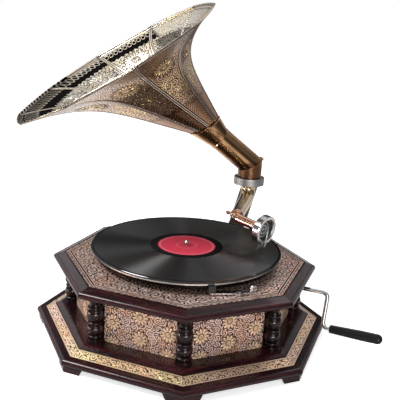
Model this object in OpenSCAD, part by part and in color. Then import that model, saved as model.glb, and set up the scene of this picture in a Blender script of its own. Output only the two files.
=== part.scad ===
// Gramophone with an octagonal wooden case, a spring motor and a twelve-gore brass horn.
// Millimetres, +Z up. The origin is on the floor, under the turntable spindle.
// The front is -Y, the crank is on the +X side and the horn bracket on the back.

/* [Case] */
// Distance of the plinth's edge outside the side panels
plinth_out = 47; // [42:0.5:60]
// Height of the bracket feet
foot_h = 7; // [5:0.5:12]
// Length of a foot along each side, from its corner
foot_len = 24; // [16:1:40]
// Width of a foot, from its outer face inwards
foot_d = 16; // [10:1:22]
// Thickness of the plinth's rounded rim
plinth_t = 9; // [7:0.5:14]
// Width of the rounded rim outside the inlay band
rim_w = 11; // [9:0.5:15]
// Width of the sloping inlay band
band_w = 12.5; // [9:0.5:14]
// Rise of the inlay band towards the body
band_rise = 5.3; // [2:0.1:8]
// Width of the step moulding inside the band
step_w = 9; // [5:0.5:10]
// Height of the step moulding
step_h = 3.7; // [2.5:0.1:6]
// Room between the motor with its regulator and the case walls
wall_gap = 1.1; // [1:0.1:12]
// Height of the body between the step and the lid
body_h = 58; // [57:1:80]
// Thickness of the wooden walls
wall_t = 10; // [8:0.5:14]
// Thickness of the embossed metal sheets
sheet_t = 0.8; // [0.5:0.1:1.2]
// Greatest radius of a corner column
column_r = 10; // [8:0.5:11]
// Distance of a column's axis in front of the panels
column_out = 3; // [2:0.5:4]
// Overhang of the lid outside the side panels
lid_out = 26.5; // [24:0.5:34]
// Thickness of the lid's moulded edge
lid_t = 10; // [8:0.5:14]
// Width of the lid's moulded edge
lid_edge_w = 15; // [12:0.5:17]
// Rise of the deck above the lid's edge
deck_rise = 3.4; // [2:0.1:5]

/* [Turntable] */
// Diameter of the record
record_d = 250; // [246:1:254]
// Thickness of the record
record_t = 2.2; // [1.6:0.1:3]
// Diameter of the paper label
label_d = 76; // [60:1:100]
// Diameter of the platter
platter_d = 242; // [230:1:244]
// Depth of the platter's turned rim
platter_t = 7; // [5:0.5:10]
// Gap between the deck and the platter's rim
platter_gap = 6.2; // [5.8:0.1:9]
// Thickness of the felt mat
felt_t = 1; // [0.6:0.1:2]
// Radius of the spindle's pin through the record
spindle_r = 3.6; // [3:0.1:3.6]
// Length of the spindle's pin above the record
spindle_out = 6.5; // [4:0.5:10]

/* [Tonearm] */
// Distance of the swivel axis to the right of the spindle
pivot_x = 31; // [20:1:40]
// Distance of the swivel axis behind the lid's edge
pivot_out = 6.5; // [4:0.5:12]
// Height of the arm's axis above the record
arm_over = 32; // [30:0.5:36]
// Reach of the arm tube from its swivel axis
arm_len = 96; // [90:1:104]
// Radius of the arm tube at its free end
arm_r = 8.8; // [8.5:0.1:9.5]
// Direction of the arm at rest, from +X
arm_heading = -81.4; // [-86:0.2:-76]
// Length of the gooseneck's straight part
goose_len = 36; // [32:1:42]
// Height of the soundbox's axis above the record
box_over = 27; // [25:0.5:28]
// Diameter of the soundbox
box_d = 40; // [36:1:42]

/* [Horn] */
// Height of the collar's top above the record
collar_over = 64; // [60:1:80]
// Direction of the horn at rest, from +X
horn_heading = -144.4; // [-180:0.2:-100]
// Height of the elbow's mitre above the collar
mitre_over = 19.3; // [16:0.1:30]
// Length of the neck from the mitre to the bell
neck_len = 96.4; // [90:0.1:110]
// Angle of the neck above the horizontal
neck_pitch = 37.5; // [34:0.1:46]
// Length of the bell along its centre line
bell_len = 156.6; // [140:0.2:200]
// Angle of the bell's centre line above the horizontal
bell_pitch = 32.1; // [26:0.1:45]
// Angle of the mouth's axis above the horizontal
mouth_pitch = 56.8; // [45:0.1:60]
// Diameter of the mouth
mouth_d = 313; // [280:1:340]
// Diameter of the bell's throat
throat_d = 48.8; // [46:0.2:52]
// Number of gores in the bell
gores = 10; // [8:1:16]
// Thickness of the bell's sheet
bell_t = 1; // [0.8:0.1:1.6]
// Radius of the wire rolled into the rim
rim_r = 1.6; // [1.2:0.1:2.4]

/* [Crank] */
// Distance of the winding shaft behind the spindle
crank_y = 30; // [26:1:34]
// Distance of the winding shaft below the lid
crank_drop = 11; // [10.5:0.1:12]
// Distance of the crank's arm from the plinth's edge
crank_out = 5; // [4:0.5:20]
// Length of the crank's arm between its two bends
crank_arm = 44; // [36:1:46]
// Swing of the crank's arm at rest, from straight down
crank_rest = 24; // [0:1:40]
// Radius of the crank's rod
rod_r = 2.7; // [2.4:0.1:3]
// Length of the grip
grip_len = 66; // [50:1:90]

/* [Motor] */
// Module of the spur gears
gear_m = 0.8; // [0.76:0.02:0.82]
// Teeth of the great wheel on the spring barrel
great_teeth = 90; // [88:1:92]
// Teeth of the wheel on the middle arbor
middle_teeth = 65; // [63:1:67]
// Teeth of both pinions
pinion_teeth = 15; // [15:1:16]
// Play between the teeth of a meshing pair
gear_play = 0.3; // [0.25:0.01:0.4]
// Distance of the barrel to the right of the spindle
barrel_x = 60; // [58:1:62]
// Clear height between the motor's plates
motor_h = 47; // [46.5:0.1:47.5]
// Thickness of the motor's plates
plate_t = 3; // [2:0.5:3]

/* [Hidden] */
$fn = 48;

// Running fit of a shaft in its bearing, and the gap round loosely fitted pieces
fit = 0.05;
loose = 0.3;
// Gap of a glued joint
glue = 0.1;
half = 22.5;
mahogany = [0.16, 0.07, 0.06];
copper = [0.72, 0.50, 0.36];
brass = [0.78, 0.60, 0.32];
steel = [0.72, 0.72, 0.74];
black = [0.06, 0.06, 0.06];

// Heights of the case
rim_z = foot_h + plinth_t;
band_z = rim_z + band_rise;
ledge_z = band_z + step_h;
lid_z = ledge_z + body_h;
edge_z = lid_z + lid_t;
deck_z = edge_z + deck_rise;

// Heights of the turntable
platter_z = deck_z + platter_gap;
felt_z = platter_z + platter_t;
record_z = felt_z + felt_t;
top_z = record_z + record_t;
web_t = 2.5;
seat_z = felt_z - web_t - 3;
platter_r = platter_d / 2;

// Motor: plates hung under the lid, with the gears between them
washer_t = 3;
bed_z = lid_z - washer_t - plate_t;
low_z = bed_z - motor_h;
shaft_r = 4;
arbor_r = 2.5;
great_r = gear_m * great_teeth / 2;
middle_r = gear_m * middle_teeth / 2;
pinion_r = gear_m * pinion_teeth / 2;
// The middle arbor lies where both of its meshes close
arbor_od = middle_r + pinion_r;
arbor_bd = great_r + pinion_r;
barrel_d = norm([barrel_x, crank_y]);
barrel_dir = atan2(crank_y, barrel_x);
arbor_dir = barrel_dir + acos((arbor_od ^ 2 + barrel_d ^ 2 - arbor_bd ^ 2) / (2 * arbor_od * barrel_d));
arbor_x = arbor_od * cos(arbor_dir);
arbor_y = arbor_od * sin(arbor_dir);
mesh_dir = atan2(arbor_y - crank_y, arbor_x - barrel_x);
// Levels of the gears above the lower plate
great_z = low_z + plate_t + 3;
great_t = 4;
drum_r = great_r - 3;
cover_t = 1.5;
middle_z = bed_z - 7.5;
middle_t = 3;
gov_z = low_z + plate_t + 19.5;
gov_t = 3;
// Winding: a pinion on the shaft drives the crown wheel on the barrel's arbor
wind_z = lid_z - crank_drop;
wind_m = 1;
wind_pinion = 10;
wind_crown = 36;
wind_r = wind_m * wind_crown / 2;
wind_face = 2.4;
wind_pr = wind_m * wind_pinion / 2;
wind_shaft_r = 4;
crown_tip_z = wind_z - wind_pr + 0.8 * wind_m;
crown_root_z = wind_z - wind_pr - 1.2 * wind_m;
crown_t = 3;
// The spring's drum fills the height left under the crown wheel
cover_z = crown_root_z - crown_t - cover_t - 1.3;
drum_h = cover_z - great_z - great_t;
// Governor: a four-start worm on the cross shaft runs in the wheel on the spindle
worm_starts = 4;
worm_m = 0.8;
worm_teeth = 60;
worm_lead_angle = 30;
gov_r = worm_m * worm_teeth / 2;
worm_lead = PI * worm_m * worm_starts;
worm_r = worm_lead / (2 * PI * tan(worm_lead_angle));
gov_y = -(gov_r + worm_r);
gov_shaft_r = 1.9;
worm_len = 14;
spring_x0 = gov_r + 5;
spring_len = 30;
disc_x = spring_x0 + spring_len + 3;
disc_t = 2;
disc_r = 13;
weight_r = 3.5;
spring_bow = 5;
spring_t = 0.5;
gov_collar_r = 5;
bear_t = 4;
bear_x0 = -worm_len / 2 - bear_t - 8;
bear_x1 = disc_x + disc_t + 14;
// Outline of the plates
plate_edge = 6;
gov_edge = 21;
bed_x0 = -38;
bed_x1 = barrel_x + great_r + plate_edge;
bed_y0 = gov_y - gov_edge;
bed_y1 = crank_y + great_r + plate_edge;
pillar_r = 4;
pillar_in = 7;
bolt_r = 2.5;

// Places of what passes through the deck
brake_dir = -40;
brake_pad_dir = -54;
brake_pivot_r = platter_r + 10;
knob_dir = -29.8;
knob_r = platter_r + 7.4;
stem_x = knob_r * cos(knob_dir);
stem_y = knob_r * sin(knob_dir);
stem_r = 2.5;
hub_t = 2;

// Half widths of the case, from the axis to the middle of a flat. The walls clear the
// corner of the motor's plates and the axis of the regulator's stem, and the panels, the
// lid and the plinth follow from them.
wall_n = max((bed_x1 + bed_y1) / sqrt(2), knob_r * cos(45 + knob_dir)) + wall_gap;
body_n = wall_n + wall_t;
lid_n = body_n + lid_out;
plinth_n = body_n + plinth_out;
band_n = plinth_n - rim_w;
step_n = band_n - band_w;
board_n = lid_n - lid_edge_w;
frame_lap = 6;
frame_n = wall_n - frame_lap;
// Place of a column along and in front of a panel
column_n = body_n + column_out;
column_s = column_n * tan(half);
panel_gap = 1;
panel_s = column_s - column_r - panel_gap;

// Crank: the rod leaves the shaft's socket and bends twice
wall_x = body_n;
arm_x = plinth_n + crank_out;
bend_r = 7;
shaft_x0 = barrel_x + wind_r - wind_face / 2;
shaft_x1 = wall_x + 4;
socket_len = 22;
hanger_x = shaft_x0 + wind_face + 8;
hanger_t = 7;
hanger_w = 30;
slot_w = 14;
grip_x0 = arm_x + bend_r + 2;

// Tonearm: pivot, arm axis and soundbox
pivot_y = lid_n + pivot_out;
arm_z = top_z + arm_over;
collar_z = top_z + collar_over;
collar_h = 11;
collar_r = 23;
neck_r = 12.5;
flange_r = 15;
flange_t = 2;
seat_h = 4;
elbow_bore = 15.6;
arm_bend = 15;
bend_tube_r = 10.5;
tube_t = 1.4;
spigot_r = 7.2;
spigot_len = 9;
goose_r = 6.3;
goose_bend = 12;
goose_turn = 60;
goose_lead = 12;
box_t = 11;
box_back = 3;
// The gooseneck hangs by this angle so that the soundbox stands at its height
goose_y = goose_bend * (1 - cos(goose_turn)) + (goose_len + box_t / 2) * sin(goose_turn);
goose_hang = asin((arm_over - box_over) / goose_y);
needle_gap = 0.35;

// Horn: the mitred elbow, the ferrule and the bell
mitre_z = collar_z + mitre_over;
elbow_r = 17.9;
elbow_end_r = 17.3;
elbow_t = 1.6;
ferrule_at = 63.3;
throat_r = throat_d / 2;
ferrule_lap = 8;

module at_pivot(turn) {
  translate([pivot_x, pivot_y, 0])
    rotate(turn)
      children();
}

// A child moved to each of the eight corners or sides of the octagon
module round_octagon(first) {
  for (k = [0:7])
    rotate(first + 45 * k)
      children();
}

module octagon(n) {
  rotate(half)
    circle(r = n / cos(half), $fn = 8);
}

// Eight mitred lengths of one moulding round the octagon.
// The profile is drawn with x as the distance from the axis and y as the height.
module mitred(reach, top) {
  length = 2 * reach * tan(half);
  round_octagon(0)
    intersection() {
      rotate([90, 0, 0])
        linear_extrude(length, center = true)
          children();
      translate([glue / 2 / sin(half), 0, -1])
        linear_extrude(top + 2)
          polygon([[0, 0], [reach, reach * tan(half)], [reach, -reach * tan(half)]]);
    }
}

module corner_feet() {
  inset = 2.5;
  color(mahogany)
    round_octagon(half)
      intersection() {
        rotate(half)
          linear_extrude(foot_h)
            difference() {
              octagon(plinth_n - inset);
              octagon(plinth_n - inset - foot_d);
            }
        translate([(plinth_n - inset) / cos(half), 0, 0])
          cylinder(h = foot_h, r1 = foot_len - foot_h / 2, r2 = foot_len);
      }
}

// The inlay band lies in a shallow rebate behind the rounded rim
module plinth_profile() {
  nose = plinth_t / 2;
  difference() {
    union() {
      translate([frame_n, foot_h])
        square([plinth_n - nose - frame_n, plinth_t]);
      translate([plinth_n - nose, foot_h + nose])
        circle(nose);
      polygon([[frame_n, foot_h + nose], [band_n, foot_h + nose], [step_n, band_z], [frame_n, band_z]]);
    }
    polygon([[band_n + glue, band_z + 1], [band_n + glue, rim_z - sheet_t], [band_n, rim_z - sheet_t],
      [step_n, band_z - sheet_t], [step_n, band_z + 1]]);
  }
}

module plinth_frame() {
  color(mahogany)
    mitred(plinth_n + 1, band_z)
      plinth_profile();
}

module plinth_inlay() {
  color(copper)
    mitred(plinth_n, band_z + 1)
      polygon([[band_n, rim_z - sheet_t], [band_n, rim_z], [step_n + glue, band_z],
        [step_n + glue, band_z - sheet_t]]);
}

module base_board() {
  board_t = 6;
  color(mahogany)
    translate([0, 0, foot_h])
      linear_extrude(board_t)
        octagon(frame_n - glue);
}

// The step is an ovolo: a quarter wave from the band up to the ledge
module step_moulding() {
  steps = 6;
  color(mahogany)
    mitred(plinth_n, ledge_z)
      polygon(concat([[frame_n, band_z], [step_n, band_z]],
        [for (i = [0:steps]) [step_n - step_w * i / steps,
          band_z + 0.8 + (step_h - 0.8) * sin(90 * i / steps)]], [[frame_n, ledge_z]]));
}

module at_columns() {
  round_octagon(half)
    translate([column_n / cos(half), 0, 0])
      children();
}

// Opening for the winding shaft, through whatever lies on the crank's side
module crank_hole(r) {
  translate([0, crank_y, wind_z])
    rotate([0, 90, 0])
      cylinder(h = plinth_n, r = r);
}

module case_walls() {
  color(mahogany)
    difference() {
      mitred(body_n, lid_z)
        translate([wall_n, ledge_z])
          square([wall_t - sheet_t, body_h]);
      at_columns()
        translate([0, 0, ledge_z - 1])
          cylinder(h = body_h + 2, r = column_r + loose);
      crank_hole(wind_shaft_r + 1);
      bracket_holes();
      // Groove for the stem of the speed regulator
      translate([stem_x, stem_y, ledge_z - 1])
        cylinder(h = body_h + 2, r = stem_r + hub_t + 1);
    }
}

module side_panels() {
  color(copper)
    difference() {
      round_octagon(0)
        translate([body_n - sheet_t, -panel_s, ledge_z])
          cube([sheet_t, 2 * panel_s, body_h]);
      crank_hole(wind_shaft_r + 1);
      bracket_holes();
    }
}

// A length of barrel turning: r0 at its ends and r1 in the middle
module barrel_turn(z, h, r0, r1) {
  arc = ((r1 - r0) ^ 2 + (h / 2) ^ 2) / (2 * (r1 - r0));
  intersection() {
    translate([r1 - arc, z + h / 2])
      circle(arc);
    translate([0, z])
      square([r1 + 1, h]);
  }
}

module disc_turn(z, h, r) {
  translate([0, z])
    square([r, h]);
}

module column_profile() {
  u = body_h / 58;
  r = column_r;
  disc_turn(0, 4 * u, r);
  disc_turn(4 * u, 2 * u, 0.72 * r);
  barrel_turn(6 * u, 3 * u, 0.75 * r, 0.9 * r);
  barrel_turn(9 * u, 14 * u, 0.7 * r, r);
  barrel_turn(23 * u, 3 * u, 0.72 * r, 0.9 * r);
  barrel_turn(26 * u, 16 * u, 0.7 * r, r);
  barrel_turn(42 * u, 3 * u, 0.72 * r, 0.9 * r);
  polygon([[0, 45 * u], [0.72 * r, 45 * u], [0.6 * r, 48 * u], [0.8 * r, 53 * u], [0, 53 * u]]);
  disc_turn(53 * u, 5 * u, 0.95 * r);
}

module corner_columns() {
  color(mahogany)
    at_columns()
      translate([0, 0, ledge_z])
        rotate_extrude()
          intersection() {
            column_profile();
            square([column_r + 1, body_h]);
          }
}

module deck_holes(play) {
  translate([0, 0, lid_z - 1]) {
    cylinder(h = deck_z, r = shaft_r + 2 + play);
    translate([stem_x, stem_y, 0])
      cylinder(h = deck_z, r = stem_r + loose + play);
  }
}

module lid_board() {
  color(mahogany)
    difference() {
      translate([0, 0, lid_z])
        linear_extrude(deck_z - sheet_t - lid_z)
          octagon(board_n);
      deck_holes(0);
      at_pillars()
        translate([0, 0, lid_z - 1])
          cylinder(h = bolt_grip + 1, r = bolt_r + fit);
    }
}

module lid_moulding() {
  nose = 0.42 * lid_t;
  color(mahogany)
    mitred(lid_n, deck_z) {
      translate([lid_n - nose, edge_z - nose])
        circle(nose);
      polygon([[board_n + glue, lid_z], [lid_n - nose - 3, lid_z], [lid_n - nose, edge_z - 2 * nose],
        [lid_n - nose, edge_z], [board_n + 2, deck_z], [board_n + glue, deck_z]]);
    }
}

module deck_inlay() {
  color(copper)
    difference() {
      translate([0, 0, deck_z - sheet_t])
        linear_extrude(sheet_t)
          octagon(board_n);
      deck_holes(1);
    }
}

module crank_escutcheon() {
  color(brass)
    translate([wall_x, crank_y, wind_z])
      rotate([0, 90, 0])
        difference() {
          rotate_extrude()
            polygon([[0, 0], [9.5, 0], [9.5, 0.8], [6.5, 2.2], [0, 2.2]]);
          translate([0, 0, -1])
            cylinder(h = 6, r = wind_shaft_r + fit);
        }
}

// Bracket on the back: a leaning leg carries the collar clear of the lid
bracket_w = 22;
leg_t = 8;
leg_y = pivot_y + neck_r + 2.5;
leg_z = ledge_z + 12;
plate_w = 56;
plate_h = 36;
back_t = 4;
screw_r = 2;
screw_len = 8;

module bracket_holes() {
  at_bracket_screws()
    translate([0, 0, -screw_len - 1])
      cylinder(h = screw_len + back_t + 2, r = screw_r + fit);
}

module at_bracket_screws() {
  for (x = [-1, 1], z = [-1, 1])
    translate([x * (plate_w / 2 - 6), body_n, leg_z + leg_t + z * (plate_h / 2 - 6)])
      rotate([-90, 0, 0])
        children();
}

module horn_bracket() {
  color(steel)
    difference() {
      union() {
        translate([pivot_x, pivot_y, collar_z - collar_h])
          cylinder(h = collar_h, r = collar_r);
        hull() {
          translate([pivot_x - bracket_w / 2, leg_y, collar_z - collar_h])
            cube([bracket_w, leg_t, collar_h]);
          translate([-bracket_w / 2, leg_y, leg_z])
            cube([bracket_w, leg_t, 2 * leg_t]);
        }
        translate([-bracket_w / 2, body_n, leg_z])
          cube([bracket_w, leg_y + leg_t - body_n, 2 * leg_t]);
        translate([-plate_w / 2, body_n, leg_z + leg_t - plate_h / 2])
          cube([plate_w, back_t, plate_h]);
      }
      // The arm's neck turns in the lower bore and the horn's spigot in the upper one
      translate([pivot_x, pivot_y, collar_z - collar_h - 1])
        cylinder(h = collar_h + 2, r = neck_r + fit);
      translate([pivot_x, pivot_y, collar_z - collar_h + seat_h])
        cylinder(h = collar_h, r = elbow_bore + fit);
      bracket_holes();
    }
}

module bracket_screws() {
  color(brass)
    at_bracket_screws() {
      translate([0, 0, -screw_len])
        cylinder(h = screw_len + back_t, r = screw_r);
      translate([0, 0, back_t])
        difference() {
          rotate_extrude()
            polygon([[0, 0], [4, 0], [3.4, 1.4], [0, 2]]);
          translate([-5, -0.5, 1])
            cube([10, 1, 2]);
        }
    }
}

// Motor plates, pillars and bolts
bolt_grip = 8;

module at_pillars() {
  for (x = [bed_x0 + pillar_in, bed_x1 - pillar_in], y = [bed_y0 + pillar_in, bed_y1 - pillar_in])
    translate([x, y, 0])
      children();
}

module motor_plate(z) {
  translate([bed_x0, bed_y0, z])
    cube([bed_x1 - bed_x0, bed_y1 - bed_y0, plate_t]);
}

module shaft_holes(z, spindle_hole) {
  translate([0, 0, z - 1])
    cylinder(h = plate_t + 2, r = spindle_hole);
  translate([barrel_x, crank_y, z - 1])
    cylinder(h = plate_t + 2, r = shaft_r + fit);
  translate([arbor_x, arbor_y, z - 1])
    cylinder(h = plate_t + 2, r = arbor_r + fit);
}

module motor_bedplate() {
  color(steel)
    difference() {
      motor_plate(bed_z);
      shaft_holes(bed_z, shaft_r + fit);
      // Slot over the winding pinion and the clutch spring
      translate([shaft_x0 - 1, crank_y - slot_w / 2, bed_z - 1])
        cube([bed_x1, slot_w, plate_t + 2]);
      at_pillars()
        translate([0, 0, bed_z - 1])
          cylinder(h = plate_t + 2, r = bolt_r + fit);
    }
}

module motor_lower_plate() {
  color(steel)
    difference() {
      motor_plate(low_z);
      shaft_holes(low_z, shaft_r - 1 + fit);
      at_pillars()
        translate([0, 0, low_z - 1])
          cylinder(h = plate_t + 2, r = bolt_r + fit);
    }
}

module motor_pillars() {
  color(brass)
    at_pillars()
      translate([0, 0, low_z + plate_t])
        difference() {
          cylinder(h = motor_h - plate_t, r = pillar_r);
          translate([0, 0, -1])
            cylinder(h = motor_h, r = bolt_r + fit);
        }
}

// One long bolt goes up through each pillar and washer into the lid
module motor_bolts() {
  head_t = 3;
  color(steel)
    at_pillars()
      translate([0, 0, low_z - head_t]) {
        cylinder(h = head_t, r = 4, $fn = 6);
        cylinder(h = lid_z + bolt_grip - low_z + head_t, r = bolt_r);
      }
}

module bolt_washers() {
  color(black)
    at_pillars()
      translate([0, 0, lid_z - washer_t])
        difference() {
          cylinder(h = washer_t, r = 7);
          translate([0, 0, -1])
            cylinder(h = washer_t + 2, r = bolt_r + fit);
        }
}

module governor_bearings() {
  color(brass)
    for (x = [bear_x0, bear_x1])
      difference() {
        translate([x, gov_y - 5, low_z + plate_t])
          cube([bear_t, 10, gov_z - low_z - plate_t + 5]);
        translate([x - 1, gov_y, gov_z])
          rotate([0, 90, 0])
            cylinder(h = bear_t + 2, r = gov_shaft_r + fit);
      }
}

module winding_bearing() {
  drop = bed_z - wind_z + wind_shaft_r + 4;
  color(brass)
    difference() {
      translate([hanger_x, crank_y - hanger_w / 2, bed_z - drop])
        cube([hanger_t, hanger_w, drop]);
      translate([hanger_x - 1, crank_y, wind_z])
        rotate([0, 90, 0])
          cylinder(h = hanger_t + 2, r = wind_shaft_r + fit);
    }
}

// Involute gear with stub teeth, thinned by half the play
function roll(a) = tan(a) * 180 / PI - a;
function tooth_half(teeth, m, r) = 90 / teeth - gear_play / 4 / (teeth * m / 2) * 180 / PI
  + roll(20) - roll(acos(min(1, teeth * m / 2 * cos(20) / r)));

module gear_outline(teeth, m) {
  pitch = teeth * m / 2;
  tip = pitch + 0.8 * m;
  root = pitch - 1.1 * m;
  base = max(root, pitch * cos(20));
  toe = tooth_half(teeth, m, base);
  flank = [for (i = [0:3]) base + (tip - base) * i / 3];
  tooth = concat(root < base ? [[-toe, root]] : [],
    [for (r = flank) [-tooth_half(teeth, m, r), r]],
    [for (i = [3:-1:0]) [tooth_half(teeth, m, flank[i]), flank[i]]],
    root < base ? [[toe, root]] : []);
  polygon([for (k = [0:teeth - 1], p = tooth)
    p[1] * [cos(p[0] + 360 * k / teeth), sin(p[0] + 360 * k / teeth)]]);
}

// Turntable train
pinion_h = 5;

module spindle() {
  collar_t = 3;
  free_r = spindle_r - fit;
  color(steel) {
    rotate_extrude()
      polygon([[0, low_z], [shaft_r - 1, low_z], [shaft_r - 1, low_z + plate_t],
        [shaft_r, low_z + plate_t], [shaft_r, seat_z - collar_t], [7, seat_z - collar_t],
        [7, seat_z], [spindle_r, seat_z], [spindle_r, top_z + loose], [free_r, top_z + loose],
        [free_r, top_z + spindle_out - 2], [free_r - 1.6, top_z + spindle_out], [0, top_z + spindle_out]]);
    translate([0, 0, middle_z - 1])
      rotate(arbor_dir + 180 / pinion_teeth)
        linear_extrude(pinion_h)
          gear_outline(pinion_teeth, gear_m);
  }
}

// Twist of a right-hand helix over a length, as an extrusion counts it
function helix(length, lead) = -360 * length / lead;

module governor_wheel() {
  turn = helix(gov_t, 2 * PI * gov_r / tan(worm_lead_angle));
  color(brass)
    difference() {
      translate([0, 0, gov_z])
        rotate(-90 + turn / 2)
          linear_extrude(gov_t, center = true, twist = turn, slices = 2)
            gear_outline(worm_teeth, worm_m);
      translate([0, 0, gov_z - gov_t])
        cylinder(h = 2 * gov_t, r = shaft_r + fit);
    }
}

module platter() {
  lip = 3;
  color(steel)
    rotate_extrude()
      polygon([[spindle_r + fit, seat_z], [14, seat_z], [16, felt_z - web_t],
        [platter_r - lip - 2, felt_z - web_t], [platter_r - lip, felt_z - web_t - 2],
        [platter_r - lip, platter_z], [platter_r - 1, platter_z], [platter_r, platter_z + 1],
        [platter_r, felt_z - 1], [platter_r - 1, felt_z], [spindle_r + fit, felt_z]]);
}

module felt_mat() {
  color([0.12, 0.20, 0.14])
    translate([0, 0, felt_z])
      difference() {
        cylinder(h = felt_t, r = platter_r - 3);
        translate([0, 0, -1])
          cylinder(h = felt_t + 2, r = spindle_r + loose);
      }
}

label_t = 0.2;

module record_disc() {
  edge = 0.6;
  color(black)
    translate([0, 0, record_z])
      rotate_extrude()
        polygon([[spindle_r + fit, label_t], [label_d / 2, label_t], [label_d / 2, 0],
          [record_d / 2 - edge, 0], [record_d / 2, edge], [record_d / 2, record_t - edge],
          [record_d / 2 - edge, record_t], [label_d / 2, record_t],
          [label_d / 2, record_t - label_t], [spindle_r + fit, record_t - label_t]]);
}

module record_labels() {
  color([0.62, 0.07, 0.16])
    for (z = [record_z, top_z - label_t])
      translate([0, 0, z])
        difference() {
          cylinder(h = label_t, r = label_d / 2 - glue);
          translate([0, 0, -1])
            cylinder(h = 2, r = spindle_r + fit);
        }
}

// Spring barrel: the great wheel is its floor
barrel_wall = 1.5;

module spring_barrel() {
  color(brass)
    translate([barrel_x, crank_y, great_z])
      difference() {
        union() {
          rotate(mesh_dir)
            linear_extrude(great_t)
              gear_outline(great_teeth, gear_m);
          cylinder(h = great_t + drum_h, r = drum_r);
        }
        translate([0, 0, great_t])
          cylinder(h = drum_h + 1, r = drum_r - barrel_wall);
        translate([0, 0, -1])
          cylinder(h = great_t + 2, r = shaft_r + fit);
      }
}

module barrel_cover() {
  color(brass)
    translate([barrel_x, crank_y, cover_z])
      difference() {
        cylinder(h = cover_t, r = drum_r);
        translate([0, 0, -1])
          cylinder(h = cover_t + 2, r = shaft_r + fit);
      }
}

// The spring lies in a spiral from the arbor out to the barrel's wall
module mainspring() {
  turns = 7;
  steps = 20;
  strip = 0.7;
  r0 = shaft_r + 1.6 + strip;
  r1 = drum_r - barrel_wall - loose;
  n = turns * steps;
  color([0.35, 0.37, 0.42])
    translate([barrel_x, crank_y, great_z + great_t + 1])
      linear_extrude(drum_h - 2)
        polygon(concat(
          [for (i = [0:n]) (r0 + (r1 - r0) * i / n) * [cos(360 * i / steps), sin(360 * i / steps)]],
          [for (i = [n:-1:0]) (r0 + (r1 - r0) * i / n - strip)
            * [cos(360 * i / steps), sin(360 * i / steps)]]));
}

module barrel_arbor() {
  color(steel)
    translate([barrel_x, crank_y, 0]) {
      translate([0, 0, low_z])
        cylinder(h = bed_z + plate_t - low_z, r = shaft_r);
      // The collar rests on the lower plate and carries the barrel
      translate([0, 0, low_z + plate_t])
        cylinder(h = great_z - low_z - plate_t, r = shaft_r + 3);
    }
}

module crown_wheel() {
  root_w = 1.3;
  tip_w = 0.7;
  color(brass)
    translate([barrel_x, crank_y, crown_root_z]) {
      translate([0, 0, -crown_t])
        difference() {
          cylinder(h = crown_t, r = wind_r + wind_face / 2 + 0.6);
          translate([0, 0, -1])
            cylinder(h = crown_t + 2, r = shaft_r + fit);
        }
      for (k = [0:wind_crown - 1])
        rotate(360 * (k + 0.5) / wind_crown)
          translate([wind_r - wind_face / 2, 0, 0])
            rotate([90, 0, 90])
              linear_extrude(wind_face)
                polygon([[-root_w / 2, -0.5], [root_w / 2, -0.5], [root_w / 2, 0],
                  [tip_w / 2, crown_tip_z - crown_root_z], [-tip_w / 2, crown_tip_z - crown_root_z],
                  [-root_w / 2, 0]]);
    }
}

module middle_arbor() {
  color(steel)
    translate([arbor_x, arbor_y, 0]) {
      translate([0, 0, low_z])
        cylinder(h = bed_z + plate_t - low_z, r = arbor_r);
      translate([0, 0, great_z - 1])
        rotate(mesh_dir + 180 + 180 / pinion_teeth)
          linear_extrude(great_t + 2)
            gear_outline(pinion_teeth, gear_m);
      translate([0, 0, low_z + plate_t])
        cylinder(h = great_z - 1 - low_z - plate_t, r = arbor_r + 1);
    }
}

module middle_wheel() {
  color(brass)
    translate([arbor_x, arbor_y, middle_z])
      difference() {
        rotate(arbor_dir + 180)
          linear_extrude(middle_t)
            gear_outline(middle_teeth, gear_m);
        translate([0, 0, -1])
          cylinder(h = middle_t + 2, r = arbor_r + fit / 2);
      }
}

// Governor on the cross shaft
module worm_outline() {
  turn = 360 / worm_lead;
  tip = worm_r + 0.7 * worm_m;
  root = worm_r - worm_m;
  middle = worm_lead / worm_starts / 4 - gear_play / 4;
  wide = (middle + (worm_r - root) * tan(20)) * turn;
  narrow = (middle - (tip - worm_r) * tan(20)) * turn;
  polygon([for (k = [0:worm_starts - 1], p = [[-wide, root], [-narrow, tip], [narrow, tip], [wide, root]])
    p[1] * [cos(p[0] + 360 * k / worm_starts), sin(p[0] + 360 * k / worm_starts)]]);
}

module along_governor(x) {
  translate([x, gov_y, gov_z])
    rotate([0, 90, 0])
      children();
}

module governor_shaft() {
  turn = helix(worm_len, worm_lead);
  color(steel) {
    along_governor(bear_x0)
      cylinder(h = bear_x1 + bear_t - bear_x0, r = gov_shaft_r);
    along_governor(0)
      rotate(180 / worm_starts + 90 + turn / 2)
        linear_extrude(worm_len, center = true, twist = turn, slices = 42)
          worm_outline();
    along_governor(spring_x0)
      cylinder(h = 4, r = gov_collar_r);
  }
}

module governor_springs() {
  width = 5;
  steps = 10;
  first = spring_x0 + 1;
  span = spring_len + 2;
  color([0.4, 0.42, 0.48])
    for (a = [0:120:240])
      translate([0, gov_y, gov_z])
        rotate([a, 0, 0])
          translate([0, width / 2, gov_collar_r + fit])
            rotate([90, 0, 0])
              linear_extrude(width)
                polygon(concat(
                  [for (i = [0:steps]) [first + span * i / steps, spring_bow * sin(180 * i / steps)]],
                  [for (i = [steps:-1:0]) [first + span * i / steps,
                    spring_bow * sin(180 * i / steps) + spring_t]]));
}

module governor_weights() {
  height = gov_collar_r + fit + spring_bow + spring_t + glue;
  color(brass)
    for (a = [0:120:240])
      translate([0, gov_y, gov_z])
        rotate([a, 0, 0])
          translate([spring_x0 + 1 + spring_len / 2 + 1, 0, height]) {
            cylinder(h = 1, r = 2);
            translate([0, 0, weight_r])
              sphere(weight_r);
          }
}

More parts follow.
